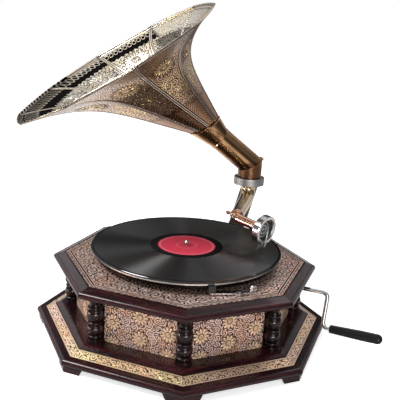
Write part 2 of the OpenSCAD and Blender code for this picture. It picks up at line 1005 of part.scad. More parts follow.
module governor_disc() {
  hub = spring_x0 + spring_len;
  color(steel)
    difference() {
      union() {
        along_governor(disc_x)
          cylinder(h = disc_t, r = disc_r);
        along_governor(hub)
          cylinder(h = disc_x - hub, r = gov_collar_r);
      }
      along_governor(hub - 1)
        cylinder(h = disc_x - hub + disc_t + 2, r = gov_shaft_r + fit);
    }
}

// Winding shaft and crank
module along_winding(x) {
  translate([x, crank_y, wind_z])
    rotate([0, 90, 0])
      children();
}

module winding_shaft() {
  color(steel)
    difference() {
      union() {
        along_winding(shaft_x0 + wind_face)
          cylinder(h = shaft_x1 - shaft_x0 - wind_face, r = wind_shaft_r);
        along_winding(shaft_x0)
          linear_extrude(wind_face + 4)
            gear_outline(wind_pinion, wind_m);
      }
      along_winding(shaft_x1 - socket_len)
        cylinder(h = socket_len + 1, r = rod_r + fit);
    }
}

// A close coil grips the shaft one way only and holds the wound spring
module clutch_spring() {
  turns = 6;
  steps = 12;
  sides = 6;
  wire = 0.8;
  pitch = 2.4;
  coil_r = wind_shaft_r + loose + wire;
  n = turns * steps;
  start = hanger_x + hanger_t + loose + wire;
  points = [for (i = [0:n], j = [0:sides - 1])
    let (a = 360 * i / steps, b = 360 * j / sides, r = coil_r + wire * cos(b))
    [start + pitch * i / steps + wire * sin(b), r * cos(a), r * sin(a)]];
  faces = concat([[for (j = [0:sides - 1]) j]],
    [for (i = [0:n - 1], j = [0:sides - 1]) each let (p = i * sides + j, q = i * sides + (j + 1) % sides)
      [[p, p + sides, q], [q, p + sides, q + sides]]],
    [[for (j = [sides - 1:-1:0]) n * sides + j]]);
  color([0.4, 0.42, 0.48])
    translate([0, crank_y, wind_z])
      polyhedron(points, faces);
}

module in_crank() {
  translate([0, crank_y, wind_z])
    rotate([-crank_rest, 0, 0])
      children();
}

module rod_bend() {
  rotate([90, 0, 0])
    rotate_extrude(angle = 90)
      translate([bend_r, 0])
        circle(rod_r);
}

module crank_rod() {
  start = shaft_x1 - socket_len + 1;
  color(steel)
    in_crank() {
      translate([start, 0, 0])
        rotate([0, 90, 0])
          cylinder(h = arm_x - bend_r - start, r = rod_r);
      translate([arm_x - bend_r, 0, -bend_r])
        rod_bend();
      translate([arm_x, 0, bend_r - crank_arm])
        cylinder(h = crank_arm - 2 * bend_r, r = rod_r);
      translate([arm_x + bend_r, 0, bend_r - crank_arm])
        rotate([0, 180, 0])
          rod_bend();
      translate([arm_x + bend_r, 0, -crank_arm])
        rotate([0, 90, 0])
          cylinder(h = grip_x0 + grip_len - 10 - arm_x - bend_r, r = rod_r);
    }
}

module crank_grip() {
  r0 = 5.2;
  r1 = 6.3;
  color(black)
    in_crank()
      translate([grip_x0, 0, -crank_arm])
        rotate([0, 90, 0])
          difference() {
            rotate_extrude()
              intersection() {
                union() {
                  polygon([[0, 0], [r0 - 1, 0], [r0, 1], [r1, 0.6 * grip_len], [r1, grip_len - r1],
                    [0, grip_len - r1]]);
                  translate([0, grip_len - r1])
                    circle(r1);
                }
                square([r1, grip_len]);
              }
            translate([0, 0, -1])
              cylinder(h = grip_len - 8, r = rod_r + fit);
          }
}

// Brake and speed regulator on the deck
brake_z = deck_z + 1.2;
lever_t = 2;
pad_gap = 0.4;
pivot_xy = brake_pivot_r * [cos(brake_dir), sin(brake_dir)];
pad_r = platter_r + pad_gap;
pad_xy = (pad_r + 2.5) * [cos(brake_pad_dir), sin(brake_pad_dir)];
lever_dir = atan2(pad_xy[1] - pivot_xy[1], pad_xy[0] - pivot_xy[0]);
lever_len = norm(pad_xy - pivot_xy);

module brake_post() {
  color(steel)
    translate([pivot_xy[0], pivot_xy[1], deck_z]) {
      cylinder(h = brake_z - deck_z, r = 5);
      cylinder(h = brake_z - deck_z + lever_t + 1.2, r = 2.5);
      translate([0, 0, brake_z - deck_z + lever_t + loose])
        cylinder(h = 1, r = 4);
    }
}

module brake_lever() {
  handle = 15;
  color(steel)
    translate([pivot_xy[0], pivot_xy[1], brake_z])
      rotate(lever_dir)
        difference() {
          union() {
            cylinder(h = lever_t, r = 5.5);
            translate([0, -3, 0])
              cube([lever_len, 6, lever_t]);
            translate([lever_len, 0, 0])
              cylinder(h = lever_t, r = 3);
            translate([-handle, -2.5, 0])
              cube([handle, 5, lever_t]);
            translate([-handle, 0, 0])
              cylinder(h = 5, r = 2.5);
            translate([-handle, 0, 5])
              sphere(3);
          }
          translate([0, 0, -1])
            cylinder(h = lever_t + 2, r = 2.5 + fit);
        }
}

module brake_pad() {
  color([0.45, 0.26, 0.14])
    rotate(brake_pad_dir)
      translate([pad_r, -4, brake_z + lever_t])
        cube([4, 8, felt_z - 2 - brake_z - lever_t]);
}

// The regulator's arm brings a leather pad up to the governor's disc
reg_gap = 0.5;
reg_pad_t = 2;
reg_block = 3;
reg_y = gov_y - 0.72 * disc_r;
reg_x = disc_x + disc_t + reg_gap;
reg_dir = atan2(reg_y - stem_y, reg_x + reg_pad_t + reg_block / 2 - stem_x);
reg_len = norm([reg_y - stem_y, reg_x + reg_pad_t + reg_block / 2 - stem_x]);

module speed_regulator() {
  knob_h = 6;
  color(steel) {
    translate([stem_x, stem_y, gov_z - 3])
      cylinder(h = deck_z + knob_h - gov_z, r = stem_r);
    translate([stem_x, stem_y, deck_z + loose])
      rotate_extrude()
        polygon([[0, 0], [5, 0], [5, 1], [4, 1.6], [4, knob_h - 1], [3, knob_h], [0, knob_h]]);
    translate([stem_x, stem_y, gov_z - 3]) {
      cylinder(h = 6, r = stem_r + hub_t);
      rotate(reg_dir)
        translate([0, -1.5, 0])
          cube([reg_len, 3, 6]);
    }
    translate([reg_x + reg_pad_t, reg_y - 3, gov_z - 3])
      cube([reg_block, 6, 6]);
  }
}

module regulator_pad() {
  color([0.45, 0.26, 0.14])
    translate([reg_x, reg_y, gov_z])
      rotate([0, 90, 0])
        cylinder(h = reg_pad_t, r = 2.5);
}

// Tonearm: the neck hangs in the collar and the tube runs out over the record
neck_z = arm_z + arm_bend;
seat_top = collar_z - collar_h + seat_h + fit;

module arm_body(cut) {
  translate([0, 0, neck_z])
    cylinder(h = seat_top + flange_t - neck_z + (cut > 0 ? 1 : 0), r = bend_tube_r - cut);
  translate([arm_bend, 0, neck_z])
    rotate([90, 0, 0])
      rotate(180)
        rotate_extrude(angle = 90)
          translate([arm_bend, 0])
            circle(bend_tube_r - cut);
  translate([arm_bend, 0, arm_z])
    rotate([0, 90, 0])
      cylinder(h = arm_len - arm_bend - (cut > 0 ? 3 : 0), r1 = bend_tube_r - cut, r2 = arm_r - cut);
}

module tonearm_tube() {
  cone_h = 4;
  color(brass)
    at_pivot(arm_heading)
      difference() {
        union() {
          arm_body(0);
          translate([0, 0, neck_z])
            cylinder(h = cone_h, r1 = bend_tube_r, r2 = neck_r);
          translate([0, 0, neck_z + cone_h])
            cylinder(h = seat_top - neck_z - cone_h, r = neck_r);
          translate([0, 0, seat_top])
            cylinder(h = flange_t, r = flange_r);
          translate([arm_len - 1, 0, arm_z])
            rotate([0, 90, 0])
              cylinder(h = spigot_len + 1, r = spigot_r);
        }
        arm_body(tube_t);
        translate([arm_len - 4, 0, arm_z])
          rotate([0, 90, 0])
            cylinder(h = spigot_len + 6, r = spigot_r - tube_t);
      }
}

// Everything beyond the arm's end hangs about the arm's own axis
module in_gooseneck() {
  at_pivot(arm_heading)
    translate([0, 0, arm_z])
      rotate([-goose_hang, 0, 0])
        children();
}

goose_x = arm_len + goose_lead;
box_x = goose_x + goose_bend * sin(goose_turn) + goose_len * cos(goose_turn);
box_y = goose_bend * (1 - cos(goose_turn)) + goose_len * sin(goose_turn);

module in_soundbox() {
  in_gooseneck()
    translate([box_x, box_y, 0])
      rotate(goose_turn)
        children();
}

sleeve_lap = 0.5;
sleeve_step = 0.1;

module goose_tube(r, past) {
  translate([goose_x, goose_bend, 0])
    rotate(-90)
      rotate_extrude(angle = goose_turn)
        translate([goose_bend, 0])
          circle(r);
  // The straight tube is sleeved a little way over the bend
  translate([box_x, box_y, 0])
    rotate(goose_turn)
      translate([-goose_len - sleeve_lap, 0, 0])
        rotate([0, 90, 0])
          cylinder(h = goose_len + sleeve_lap + past, r = r + sleeve_step);
}

screw_x = arm_len + 5;

module gooseneck() {
  sleeve_r = arm_r + 0.4;
  taper = 2.5;
  color([0.80, 0.55, 0.42])
    in_gooseneck()
      difference() {
        union() {
          goose_tube(goose_r, 0);
          translate([arm_len + loose, 0, 0])
            rotate([0, 90, 0])
              cylinder(h = goose_lead - loose - taper, r = sleeve_r);
          translate([goose_x - taper, 0, 0])
            rotate([0, 90, 0])
              cylinder(h = taper, r1 = sleeve_r, r2 = goose_r);
        }
        goose_tube(goose_r - tube_t, 1);
        translate([arm_len - 1, 0, 0])
          rotate([0, 90, 0])
            cylinder(h = spigot_len + 1.5, r = spigot_r + fit);
        translate([arm_len + spigot_len, 0, 0])
          rotate([0, 90, 0])
            cylinder(h = goose_lead - spigot_len, r = goose_r - tube_t);
        translate([screw_x, 0, 0])
          rotate([90, 0, 0])
            cylinder(h = 2 * sleeve_r, r = 1.5 + fit);
      }
}

module gooseneck_screw() {
  color([0.3, 0.28, 0.25])
    in_gooseneck()
      translate([screw_x, -spigot_r - fit - glue, 0])
        rotate([90, 0, 0]) {
          cylinder(h = 6, r = 1.5);
          translate([0, 0, 3])
            cylinder(h = 4, r = 2.8);
          translate([0, 0, 7])
            sphere(2.2);
        }
}

box_r = box_d / 2;
rim_t = 2.5;
disc_at = 5;

module soundbox_case() {
  boss = 7;
  color(steel)
    in_soundbox()
      rotate([0, 90, 0])
        rotate_extrude()
          polygon([[goose_r + sleeve_step + fit, -boss], [goose_r + 2.5, -boss], [goose_r + 3.5, -1],
            [box_r - 2, 0], [box_r, 2], [box_r, box_t - rim_t - glue],
            [box_r - 2.5, box_t - rim_t - glue], [box_r - 2.5, box_back],
            [goose_r - tube_t, box_back], [goose_r - tube_t, glue], [goose_r + sleeve_step + fit, glue]]);
}

// Two rubber rings clamp the diaphragm by its edge
module soundbox_gaskets() {
  color(black)
    in_soundbox()
      rotate([0, 90, 0])
        for (z = [[box_back, disc_at], [disc_at + 0.4, box_t - rim_t - glue]])
          translate([0, 0, z[0]])
            difference() {
              cylinder(h = z[1] - z[0] - fit, r = box_r - 2.5 - glue);
              translate([0, 0, -1])
                cylinder(h = box_t, r = box_r - 5);
            }
}

module soundbox_diaphragm() {
  color([0.85, 0.82, 0.7])
    in_soundbox()
      rotate([0, 90, 0])
        translate([0, 0, disc_at])
          cylinder(h = 0.35, r = box_r - 2.5 - glue);
}

module soundbox_ring() {
  color(steel)
    in_soundbox()
      rotate([0, 90, 0])
        rotate_extrude()
          polygon([[box_r - 6, box_t - rim_t], [box_r, box_t - rim_t], [box_r, box_t - 0.8],
            [box_r - 0.8, box_t], [box_r - 4, box_t], [box_r - 6, box_t - 1]]);
}

// A tapered rod from one point to another
module rod_between(p, q, r1, r2) {
  d = q - p;
  translate(p)
    rotate([0, acos(d[2] / norm(d)), atan2(d[1], d[0])])
      cylinder(h = norm(d), r1 = r1, r2 = r2);
}

// The bar crosses the front of the diaphragm and ends in the needle's chuck
bar_x = box_t + 1.5;
chuck_x = 5;
chuck_z = -box_r - 3.4;
needle_lean = -7;
// Height of the needle's tip in the soundbox's own frame
tip_y = box_y + chuck_x * sin(goose_turn) + needle_lean * cos(goose_turn);
tip_z = (needle_gap - arm_over + tip_y * sin(goose_hang)) / cos(goose_hang);
chuck = [chuck_x, -1, chuck_z];
needle_dir = [chuck_x, needle_lean, tip_z] - chuck;

module stylus_bar() {
  elbow = [bar_x, 0, -box_r - 1.2];
  color(steel)
    in_soundbox()
      difference() {
        union() {
          rod_between([disc_at + 0.4, 0, 0], [bar_x, 0, 0], 0.8, 0.8);
          translate([bar_x, 0, 0])
            sphere(1.2);
          rod_between([bar_x, 0, 0], elbow, 1, 1.2);
          translate(elbow)
            sphere(1.2);
          rod_between(elbow, chuck, 1.2, 1.6);
          rod_between(chuck - 0.25 * needle_dir, chuck + 0.35 * needle_dir, 2.3, 2);
        }
        rod_between(chuck, chuck + needle_dir, 0.8, 0.8);
      }
}

module needle() {
  color(steel)
    in_soundbox()
      rod_between(chuck + 0.05 * needle_dir, chuck + needle_dir, 0.75, 0.15);
}

// Horn: an elbow with a sharp mitre stands in the collar, with a bead of solder on its outer corner
neck_tilt = 90 - neck_pitch;

module beyond_mitre() {
  big = 200;
  translate([0, 0, mitre_z])
    rotate([0, neck_tilt / 2, 0])
      translate([-big / 2, -big / 2, 0])
        cube(big);
}

module along_neck(s) {
  translate([0, 0, mitre_z])
    rotate([0, neck_tilt, 0])
      translate([0, 0, s])
        children();
}

module elbow_body(cut, spigot_z) {
  back = 30;
  difference() {
    translate([0, 0, spigot_z])
      cylinder(h = mitre_z + back - spigot_z, r = elbow_r - cut);
    beyond_mitre();
  }
  intersection() {
    along_neck(-back)
      cylinder(h = back + ferrule_at, r = elbow_end_r - cut);
    beyond_mitre();
  }
}

lap_r = elbow_end_r - 1.8;

module horn_elbow() {
  spigot_z = seat_top + flange_t + loose;
  color(brass)
    at_pivot(horn_heading)
      difference() {
        union() {
          elbow_body(0, collar_z);
          translate([0, 0, spigot_z])
            cylinder(h = collar_z - spigot_z, r = elbow_bore);
          along_neck(ferrule_at)
            cylinder(h = ferrule_lap, r = lap_r);
          translate([-elbow_end_r, 0, mitre_z + elbow_end_r * tan(neck_tilt / 2)])
            rotate([90, 0, 0])
              cylinder(h = 7, r = 2.4, center = true);
        }
        elbow_body(elbow_r - elbow_bore + elbow_t, spigot_z - 1);
        along_neck(ferrule_at - 1)
          cylinder(h = ferrule_lap + 2, r = lap_r - elbow_t);
      }
}

// Triangles between two rings of n points each, which start at i0 and i1
function skin(n, i0, i1) = [for (j = [0:n - 1]) each let (k = (j + 1) % n)
  [[i0 + j, i0 + k, i1 + j], [i0 + k, i1 + k, i1 + j]]];

// Circle round the neck's axis, s beyond the elbow, its plane turned by a share of the way to the mouth's
function ferrule_ring(s, r, share) =
  let (x = (ferrule_at + s) * cos(neck_pitch), z = mitre_z + (ferrule_at + s) * sin(neck_pitch),
    e = neck_pitch + share * (mouth_pitch - neck_pitch))
  [for (j = [0:$fn - 1]) let (a = 360 * j / $fn)
    [x - r * sin(a) * sin(e), r * cos(a), z + r * sin(a) * cos(e)]];

// The ferrule widens from the elbow's end to the bell, with a bead at both ends and a bore for the lap
module horn_ferrule() {
  bead = 0.6;
  s1 = neck_len - ferrule_at;
  r1 = throat_r + 0.3;
  lap_bore = (lap_r + fit) / cos(180 / $fn);
  rings = [[glue, elbow_end_r + bead, 0], [1.6, elbow_end_r + bead, 0], [2.2, elbow_end_r, 0],
    [s1 - 2.4, r1, 1], [s1 - 1.8, r1 + bead, 1], [s1 - glue, r1 + bead, 1],
    [s1 - glue, throat_r - bell_t, 1], [ferrule_lap + glue, lap_r - elbow_t, 0],
    [ferrule_lap + glue, lap_bore, 0], [glue, lap_bore, 0]];
  m = len(rings);
  color(brass)
    at_pivot(horn_heading)
      polyhedron([for (q = rings) each ferrule_ring(q[0], q[1], q[2])],
        [for (j = [0:m - 1]) each skin($fn, $fn * ((j + 1) % m), $fn * j)]);
}

// The bell: rings of gores, all parallel to the mouth
rows = 14;
mouth_r = mouth_d / 2;
throat_at = [neck_len * cos(neck_pitch), mitre_z + neck_len * sin(neck_pitch)];
flare = 0.5;
ridge = 0.9;
ridge_w = 1.3;
seam_first = 2;

function bell_row(i) = 1 - (1 - i / rows) ^ 1.3;
function bell_centre(t) = throat_at + bell_len * t * [cos(bell_pitch), sin(bell_pitch)];
function bell_r(t) = throat_r + (mouth_r - throat_r) * (flare * t + (1 - flare) * t ^ 6.5);
// Share of the radius across a gore: halfway between its chord and its arc
function gore_r(a) = (1 + cos(180 / gores) / cos(a)) / 2;
// Angles and heights across one gore, starting at the ridge of its seam
function gore_points(r) = let (w = min(ridge_w / r * 180 / PI, 80 / gores), g = 360 / gores)
  [[-w, 0], [0, 1], [w, 0], [g / 3, 0], [2 * g / 3, 0]];
// Points round one ring, grown by h on the ridges
function bell_ring(t, cut, h) = let (r = bell_r(t), c = bell_centre(t))
  [for (k = [0:gores - 1], p = gore_points(r))
    let (a = seam_first + 360 * k / gores + p[0], b = abs(p[0] - (p[0] > 0 ? 180 / gores : -180 / gores)),
      q = r * gore_r(b) - cut + h * p[1])
    [c[0] - q * sin(a) * sin(mouth_pitch), q * cos(a), c[1] + q * sin(a) * cos(mouth_pitch)]];

module horn_bell() {
  n = 5 * gores;
  outer = [for (i = [0:rows]) each bell_ring(bell_row(i), 0, ridge)];
  inner = [for (i = [0:rows]) each bell_ring(bell_row(i), bell_t, 0)];
  m = n * (rows + 1);
  faces = concat([for (i = [0:rows - 1]) each skin(n, n * (i + 1), n * i)],
    [for (i = [0:rows - 1]) each skin(n, m + n * i, m + n * (i + 1))],
    skin(n, 0, m), skin(n, m + n * rows, n * rows));
  color(brass)
    at_pivot(horn_heading)
      polyhedron(concat(outer, inner), faces);
}

// Wire rolled into the edge of the mouth
module horn_rim() {
  sides = 6;
  n = 5 * gores;
  edge = bell_ring(1, bell_t / 2, 0);
  c = bell_centre(1);
  axis = [cos(mouth_pitch), 0, sin(mouth_pitch)];
  centre = [c[0], 0, c[1]];
  points = [for (j = [0:sides - 1]) each [for (p = edge)
    let (u = (p - centre) / norm(p - centre), a = 360 * j / sides)
    p + (rim_r + glue) * axis + rim_r * (cos(a) * u + sin(a) * axis)]];
  color(brass)
    at_pivot(horn_heading)
      polyhedron(points, [for (j = [0:sides - 1]) each skin(n, n * ((j + 1) % sides), n * j)]);
}

corner_feet();
plinth_frame();
plinth_inlay();
base_board();
step_moulding();
case_walls();
side_panels();
corner_columns();
lid_board();
lid_moulding();
deck_inlay();
crank_escutcheon();
horn_bracket();
bracket_screws();
motor_bedplate();
motor_lower_plate();
motor_pillars();
motor_bolts();
bolt_washers();
governor_bearings();
winding_bearing();
clutch_spring();
spindle();
governor_wheel();
platter();
felt_mat();
record_disc();
record_labels();
spring_barrel();
barrel_cover();
mainspring();
barrel_arbor();
crown_wheel();
middle_arbor();
middle_wheel();
governor_shaft();
governor_springs();
governor_weights();
governor_disc();
winding_shaft();
crank_rod();
crank_grip();
brake_post();
brake_lever();
brake_pad();
speed_regulator();
regulator_pad();
tonearm_tube();
gooseneck();
gooseneck_screw();
soundbox_case();
soundbox_gaskets();
soundbox_diaphragm();
soundbox_ring();
stylus_bar();
needle();
horn_elbow();
horn_ferrule();
horn_bell();
horn_rim();
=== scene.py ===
import math

import bmesh
import bpy
from mathutils import Matrix, Vector


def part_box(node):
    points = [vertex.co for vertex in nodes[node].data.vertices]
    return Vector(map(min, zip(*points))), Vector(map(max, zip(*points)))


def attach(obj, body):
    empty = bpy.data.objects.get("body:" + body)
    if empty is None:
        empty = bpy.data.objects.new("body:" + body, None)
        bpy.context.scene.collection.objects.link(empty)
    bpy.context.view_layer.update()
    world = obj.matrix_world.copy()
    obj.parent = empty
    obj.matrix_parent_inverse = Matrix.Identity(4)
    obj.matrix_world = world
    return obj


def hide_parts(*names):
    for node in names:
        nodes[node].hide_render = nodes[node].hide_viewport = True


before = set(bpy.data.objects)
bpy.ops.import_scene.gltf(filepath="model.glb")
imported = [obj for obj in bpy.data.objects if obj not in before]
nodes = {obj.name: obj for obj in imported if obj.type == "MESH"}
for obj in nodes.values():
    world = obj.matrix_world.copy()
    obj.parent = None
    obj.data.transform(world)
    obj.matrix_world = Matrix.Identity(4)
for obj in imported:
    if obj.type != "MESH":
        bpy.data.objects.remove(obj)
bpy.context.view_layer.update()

# The photograph's viewpoint: a short telephoto lens in front of the case, a little to
# its right and above the record, with the slight roll that the picture has.
lens_place = Vector((0.2816, -0.7347, 0.3928))
view_back = Vector((0.329, -0.906, 0.2662)).normalized()
view_right = Vector((0.9324, 0.3563, 0.0603))
view_up = view_back.cross(view_right).normalized()
lens = bpy.data.cameras.new("photo_lens")
lens.sensor_width = 36.0
lens.lens = 56.63
lens.clip_end = 60.0
camera = bpy.data.objects.new("photo_camera", lens)
camera.matrix_world = Matrix.Translation(lens_place) @ Matrix(
    (view_up.cross(view_back), view_up, view_back)).transposed().to_4x4()
bpy.context.scene.collection.objects.link(camera)
bpy.context.scene.camera = camera


# The plinth stands on low feet under its corners. Feet, mouldings, walls and lid are
# mahogany, stained almost black and polished; the grain of each length runs along it.
class Field:
    """One value over the surface: a socket, with the arithmetic that a pattern needs."""

    def __init__(self, tree, socket):
        self.tree = tree
        self.socket = socket

    def run(self, operation, *others):
        node = self.tree.nodes.new("ShaderNodeMath")
        node.operation = operation
        for place, value in zip(node.inputs, (self,) + others):
            feed(self.tree, place, value)
        return Field(self.tree, node.outputs[0])

    def __add__(self, other):
        return self.run("ADD", other)

    def __sub__(self, other):
        return self.run("SUBTRACT", other)

    def __mul__(self, other):
        return self.run("MULTIPLY", other)

    def __truediv__(self, other):
        return self.run("DIVIDE", other)

    def __pow__(self, other):
        return self.run("POWER", other)

    def __abs__(self):
        return self.run("ABSOLUTE")

    def either(self, other):
        """The greater of the two."""
        return self.run("MAXIMUM", other)

    def flip(self):
        """1 where it is 0, and 0 where it is 1."""
        return self.run("MULTIPLY_ADD", -1.0, 1.0)

    def fade(self, low, high):
        """0 below low, 1 above high and a smooth rise between; low may be the greater."""
        node = self.tree.nodes.new("ShaderNodeMapRange")
        node.interpolation_type = "SMOOTHSTEP"
        feed(self.tree, node.inputs["Value"], self)
        feed(self.tree, node.inputs["From Min"], low)
        feed(self.tree, node.inputs["From Max"], high)
        return Field(self.tree, node.outputs["Result"])


def feed(tree, place, value):
    """Links a field or a socket to that place, or sets the place to a plain value."""
    if isinstance(value, Field):
        tree.links.new(value.socket, place)
    elif isinstance(value, bpy.types.NodeSocket):
        tree.links.new(value, place)
    else:
        place.default_value = value


def split(tree, vector):
    node = tree.nodes.new("ShaderNodeSeparateXYZ")
    tree.links.new(vector, node.inputs[0])
    return [Field(tree, socket) for socket in node.outputs]


def join(tree, *parts):
    node = tree.nodes.new("ShaderNodeCombineXYZ")
    for place, value in zip(node.inputs, parts):
        feed(tree, place, value)
    return node.outputs[0]


def noise(tree, vector, scale, detail=3.0, rough=0.55):
    node = tree.nodes.new("ShaderNodeTexNoise")
    tree.links.new(vector, node.inputs["Vector"])
    node.inputs["Scale"].default_value = scale
    node.inputs["Detail"].default_value = detail
    node.inputs["Roughness"].default_value = rough
    return Field(tree, node.outputs[0])


def open_effect(name, inputs, outputs):
    """A new shader node group; gives the tree, its inputs by name and its output node."""
    tree = bpy.data.node_groups.new(name, "ShaderNodeTree")
    for title in inputs:
        kind = "NodeSocketVector" if title == "Place" else "NodeSocketFloat"
        tree.interface.new_socket(name=title, in_out="INPUT", socket_type=kind)
    for title in outputs:
        tree.interface.new_socket(name=title, in_out="OUTPUT", socket_type="NodeSocketFloat")
    start = tree.nodes.new("NodeGroupInput")
    end = tree.nodes.new("NodeGroupOutput")
    given = {}
    for title in inputs:
        socket = start.outputs[title]
        given[title] = socket if title == "Place" else Field(tree, socket)
    return tree, given, end


def close_effect(tree, end, **results):
    for title, field in results.items():
        tree.links.new(field.socket, end.inputs[title])


def use_effect(tree, effect, **values):
    """Places a node group in a material or in another group; gives its outputs by name."""
    node = tree.nodes.new("ShaderNodeGroup")
    node.node_tree = effect
    for title, value in values.items():
        feed(tree, node.inputs[title.replace("_", " ")], value)
    return {socket.name: Field(tree, socket) for socket in node.outputs}


def new_finish(name, constants):
    """A material with its Principled shader; constants go on the shader's own sockets."""
    material = bpy.data.materials.new(name)
    material.use_nodes = True
    tree = material.node_tree
    shader = tree.nodes["Principled BSDF"]
    for title, value in constants.items():
        shader.inputs[title].default_value = value
    return material, tree, shader


def at_object(tree):
    return tree.nodes.new("ShaderNodeTexCoord").outputs["Object"]


def two_tone(tree, mask, low, high):
    """A colour that goes from low to high with the mask; either may be a socket."""
    node = tree.nodes.new("ShaderNodeMix")
    node.data_type = "RGBA"
    feed(tree, node.inputs["Factor"], mask)
    for place, value in ((node.inputs[6], low), (node.inputs[7], high)):
        feed(tree, place, value if isinstance(value, bpy.types.NodeSocket) else (*value, 1.0))
    return node.outputs[2]


def drive(shader, title, value):
    feed(shader.id_data, shader.inputs[title], value)


def emboss(shader, height, depth):
    """Relief of that depth in metres, from a height between 0 and 1."""
    tree = shader.id_data
    bump = tree.nodes.new("ShaderNodeBump")
    bump.inputs["Distance"].default_value = depth
    tree.links.new(height.socket, bump.inputs["Height"])
    tree.links.new(bump.outputs[0], shader.inputs["Normal"])


def wear(material, *names):
    for name in names:
        nodes[name].data.materials.clear()
        nodes[name].data.materials.append(material)


side_turn = math.pi / 4
octagon_side, given, end = open_effect("octagon_side", ["Place"], ["Along", "Outward", "Up"])
x, y, z = split(octagon_side, given["Place"])
turn = (y.run("ARCTAN2", x) / side_turn).run("ROUND") * side_turn
sine, cosine = turn.run("SINE"), turn.run("COSINE")
close_effect(octagon_side, end, Along=y * cosine - x * sine, Outward=x * cosine + y * sine, Up=z)

grain_stretch, figure_scale, pore_scale, haze_scale, pore_depth = 0.09, 160.0, 900.0, 28.0, 0.00008
wood_figure, given, end = open_effect(
    "wood_figure", ["Along", "Across", "Depth"], ["Figure", "Pores", "Haze"])
long_grain = join(wood_figure, given["Along"] * grain_stretch, given["Across"], given["Depth"])
figure = noise(wood_figure, long_grain, figure_scale, 4.0, 0.6)
pores = noise(wood_figure, long_grain, pore_scale, 2.0, 0.5)
even = join(wood_figure, given["Along"], given["Across"], given["Depth"])
haze = noise(wood_figure, even, haze_scale, 3.0, 0.6)
close_effect(wood_figure, end, Figure=figure.fade(0.35, 0.7), Pores=pores.fade(0.42, 0.62), Haze=haze)


def polished_wood(name, turned, dark, red):
    """Stained wood with its grain along the octagon's side, or upright where it is turned."""
    material, tree, shader = new_finish(
        name, {"Coat Weight": 0.5, "Coat Roughness": 0.05, "Specular IOR Level": 0.1})
    place = at_object(tree)
    if turned:
        x, y, z = split(tree, place)
        wood = use_effect(tree, wood_figure, Along=z, Across=x, Depth=y)
    else:
        side = use_effect(tree, octagon_side, Place=place)
        wood = use_effect(tree, wood_figure, Along=side["Along"], Across=side["Outward"], Depth=side["Up"])
    stain = two_tone(tree, wood["Figure"], dark, red)
    pore_colour = [0.3 * part for part in dark]
    drive(shader, "Base Color", two_tone(tree, wood["Pores"] * 0.6, stain, pore_colour))
    drive(shader, "Roughness", wood["Haze"] * 0.2 + 0.14)
    emboss(shader, wood["Pores"].flip(), pore_depth)
    return material


mahogany = polished_wood("mahogany", False, (0.009, 0.003, 0.004), (0.048, 0.009, 0.011))
wear(mahogany, "corner_feet", "plinth_frame", "base_board", "step_moulding", "case_walls", "lid_board",
     "lid_moulding")

# The plinth's sloping band is thin sheet, embossed with a running leaf scroll and laid
# in a rebate. The relief is rubbed bright on top and holds brown patina in its hollows.
scroll_relief, given, end = open_effect("scroll_relief", ["Across", "Down", "Cell", "Turns"], ["Height"])
u = given["Across"] / given["Cell"]
v = given["Down"] / given["Cell"]
cells = scroll_relief.nodes.new("ShaderNodeTexVoronoi")
cells.voronoi_dimensions = "2D"
cells.inputs["Scale"].default_value = 1.0
cells.inputs["Randomness"].default_value = 0.75
scroll_relief.links.new(join(scroll_relief, u, v), cells.inputs["Vector"])
heart_u, heart_v, _ = split(scroll_relief, cells.outputs["Position"])
curl = (v - heart_v).run("ARCTAN2", u - heart_u)
winding = Field(scroll_relief, cells.outputs["Distance"]) * given["Turns"] * (2 * math.pi)
spiral = (winding + curl * 2.0).run("SINE")
close_effect(scroll_relief, end, Height=spiral.fade(-0.9, 0.0))

rubbed_patina, given, end = open_effect("rubbed_patina", ["Place", "Height"], ["Bright", "Stain"])
stain = noise(rubbed_patina, given["Place"], 22.0, 5.0, 0.6)
fine = noise(rubbed_patina, given["Place"], 420.0, 2.0, 0.5)
bright = (given["Height"] + stain * 0.35 + fine * 0.35 - 0.35).fade(0.05, 0.85)
close_effect(rubbed_patina, end, Bright=bright, Stain=stain.fade(0.4, 0.65))

# The near black of a painted dark reflection.
dark_reflection_colour = (0.006, 0.005, 0.005)


def embossed_metal(name, smooth, rough, metallic):
    """Embossed sheet: gives the material, its tree and place, and a function that colours its relief."""
    material, tree, shader = new_finish(name, {"Metallic": metallic, "Specular IOR Level": 0.0})
    place = at_object(tree)

    def colour(height, depth, dark, bright, tint, painted_dark_reflection=None):
        rubbed = use_effect(tree, rubbed_patina, Place=place, Height=height)
        top = two_tone(tree, rubbed["Stain"], bright, tint)
        metal = two_tone(tree, rubbed["Bright"], dark, top)
        gloss = rubbed["Bright"] * (smooth - rough) + rough
        # Where a dark reflection is painted, the sheet turns near black, rough and not metallic.
        if painted_dark_reflection is not None:
            metal = two_tone(tree, painted_dark_reflection, metal, dark_reflection_colour)
            gloss = gloss.either(painted_dark_reflection * 0.85)
            drive(shader, "Metallic", painted_dark_reflection.flip())
        drive(shader, "Base Color", metal)
        drive(shader, "Roughness", gloss)
        emboss(shader, height, depth)

    return material, tree, place, colour


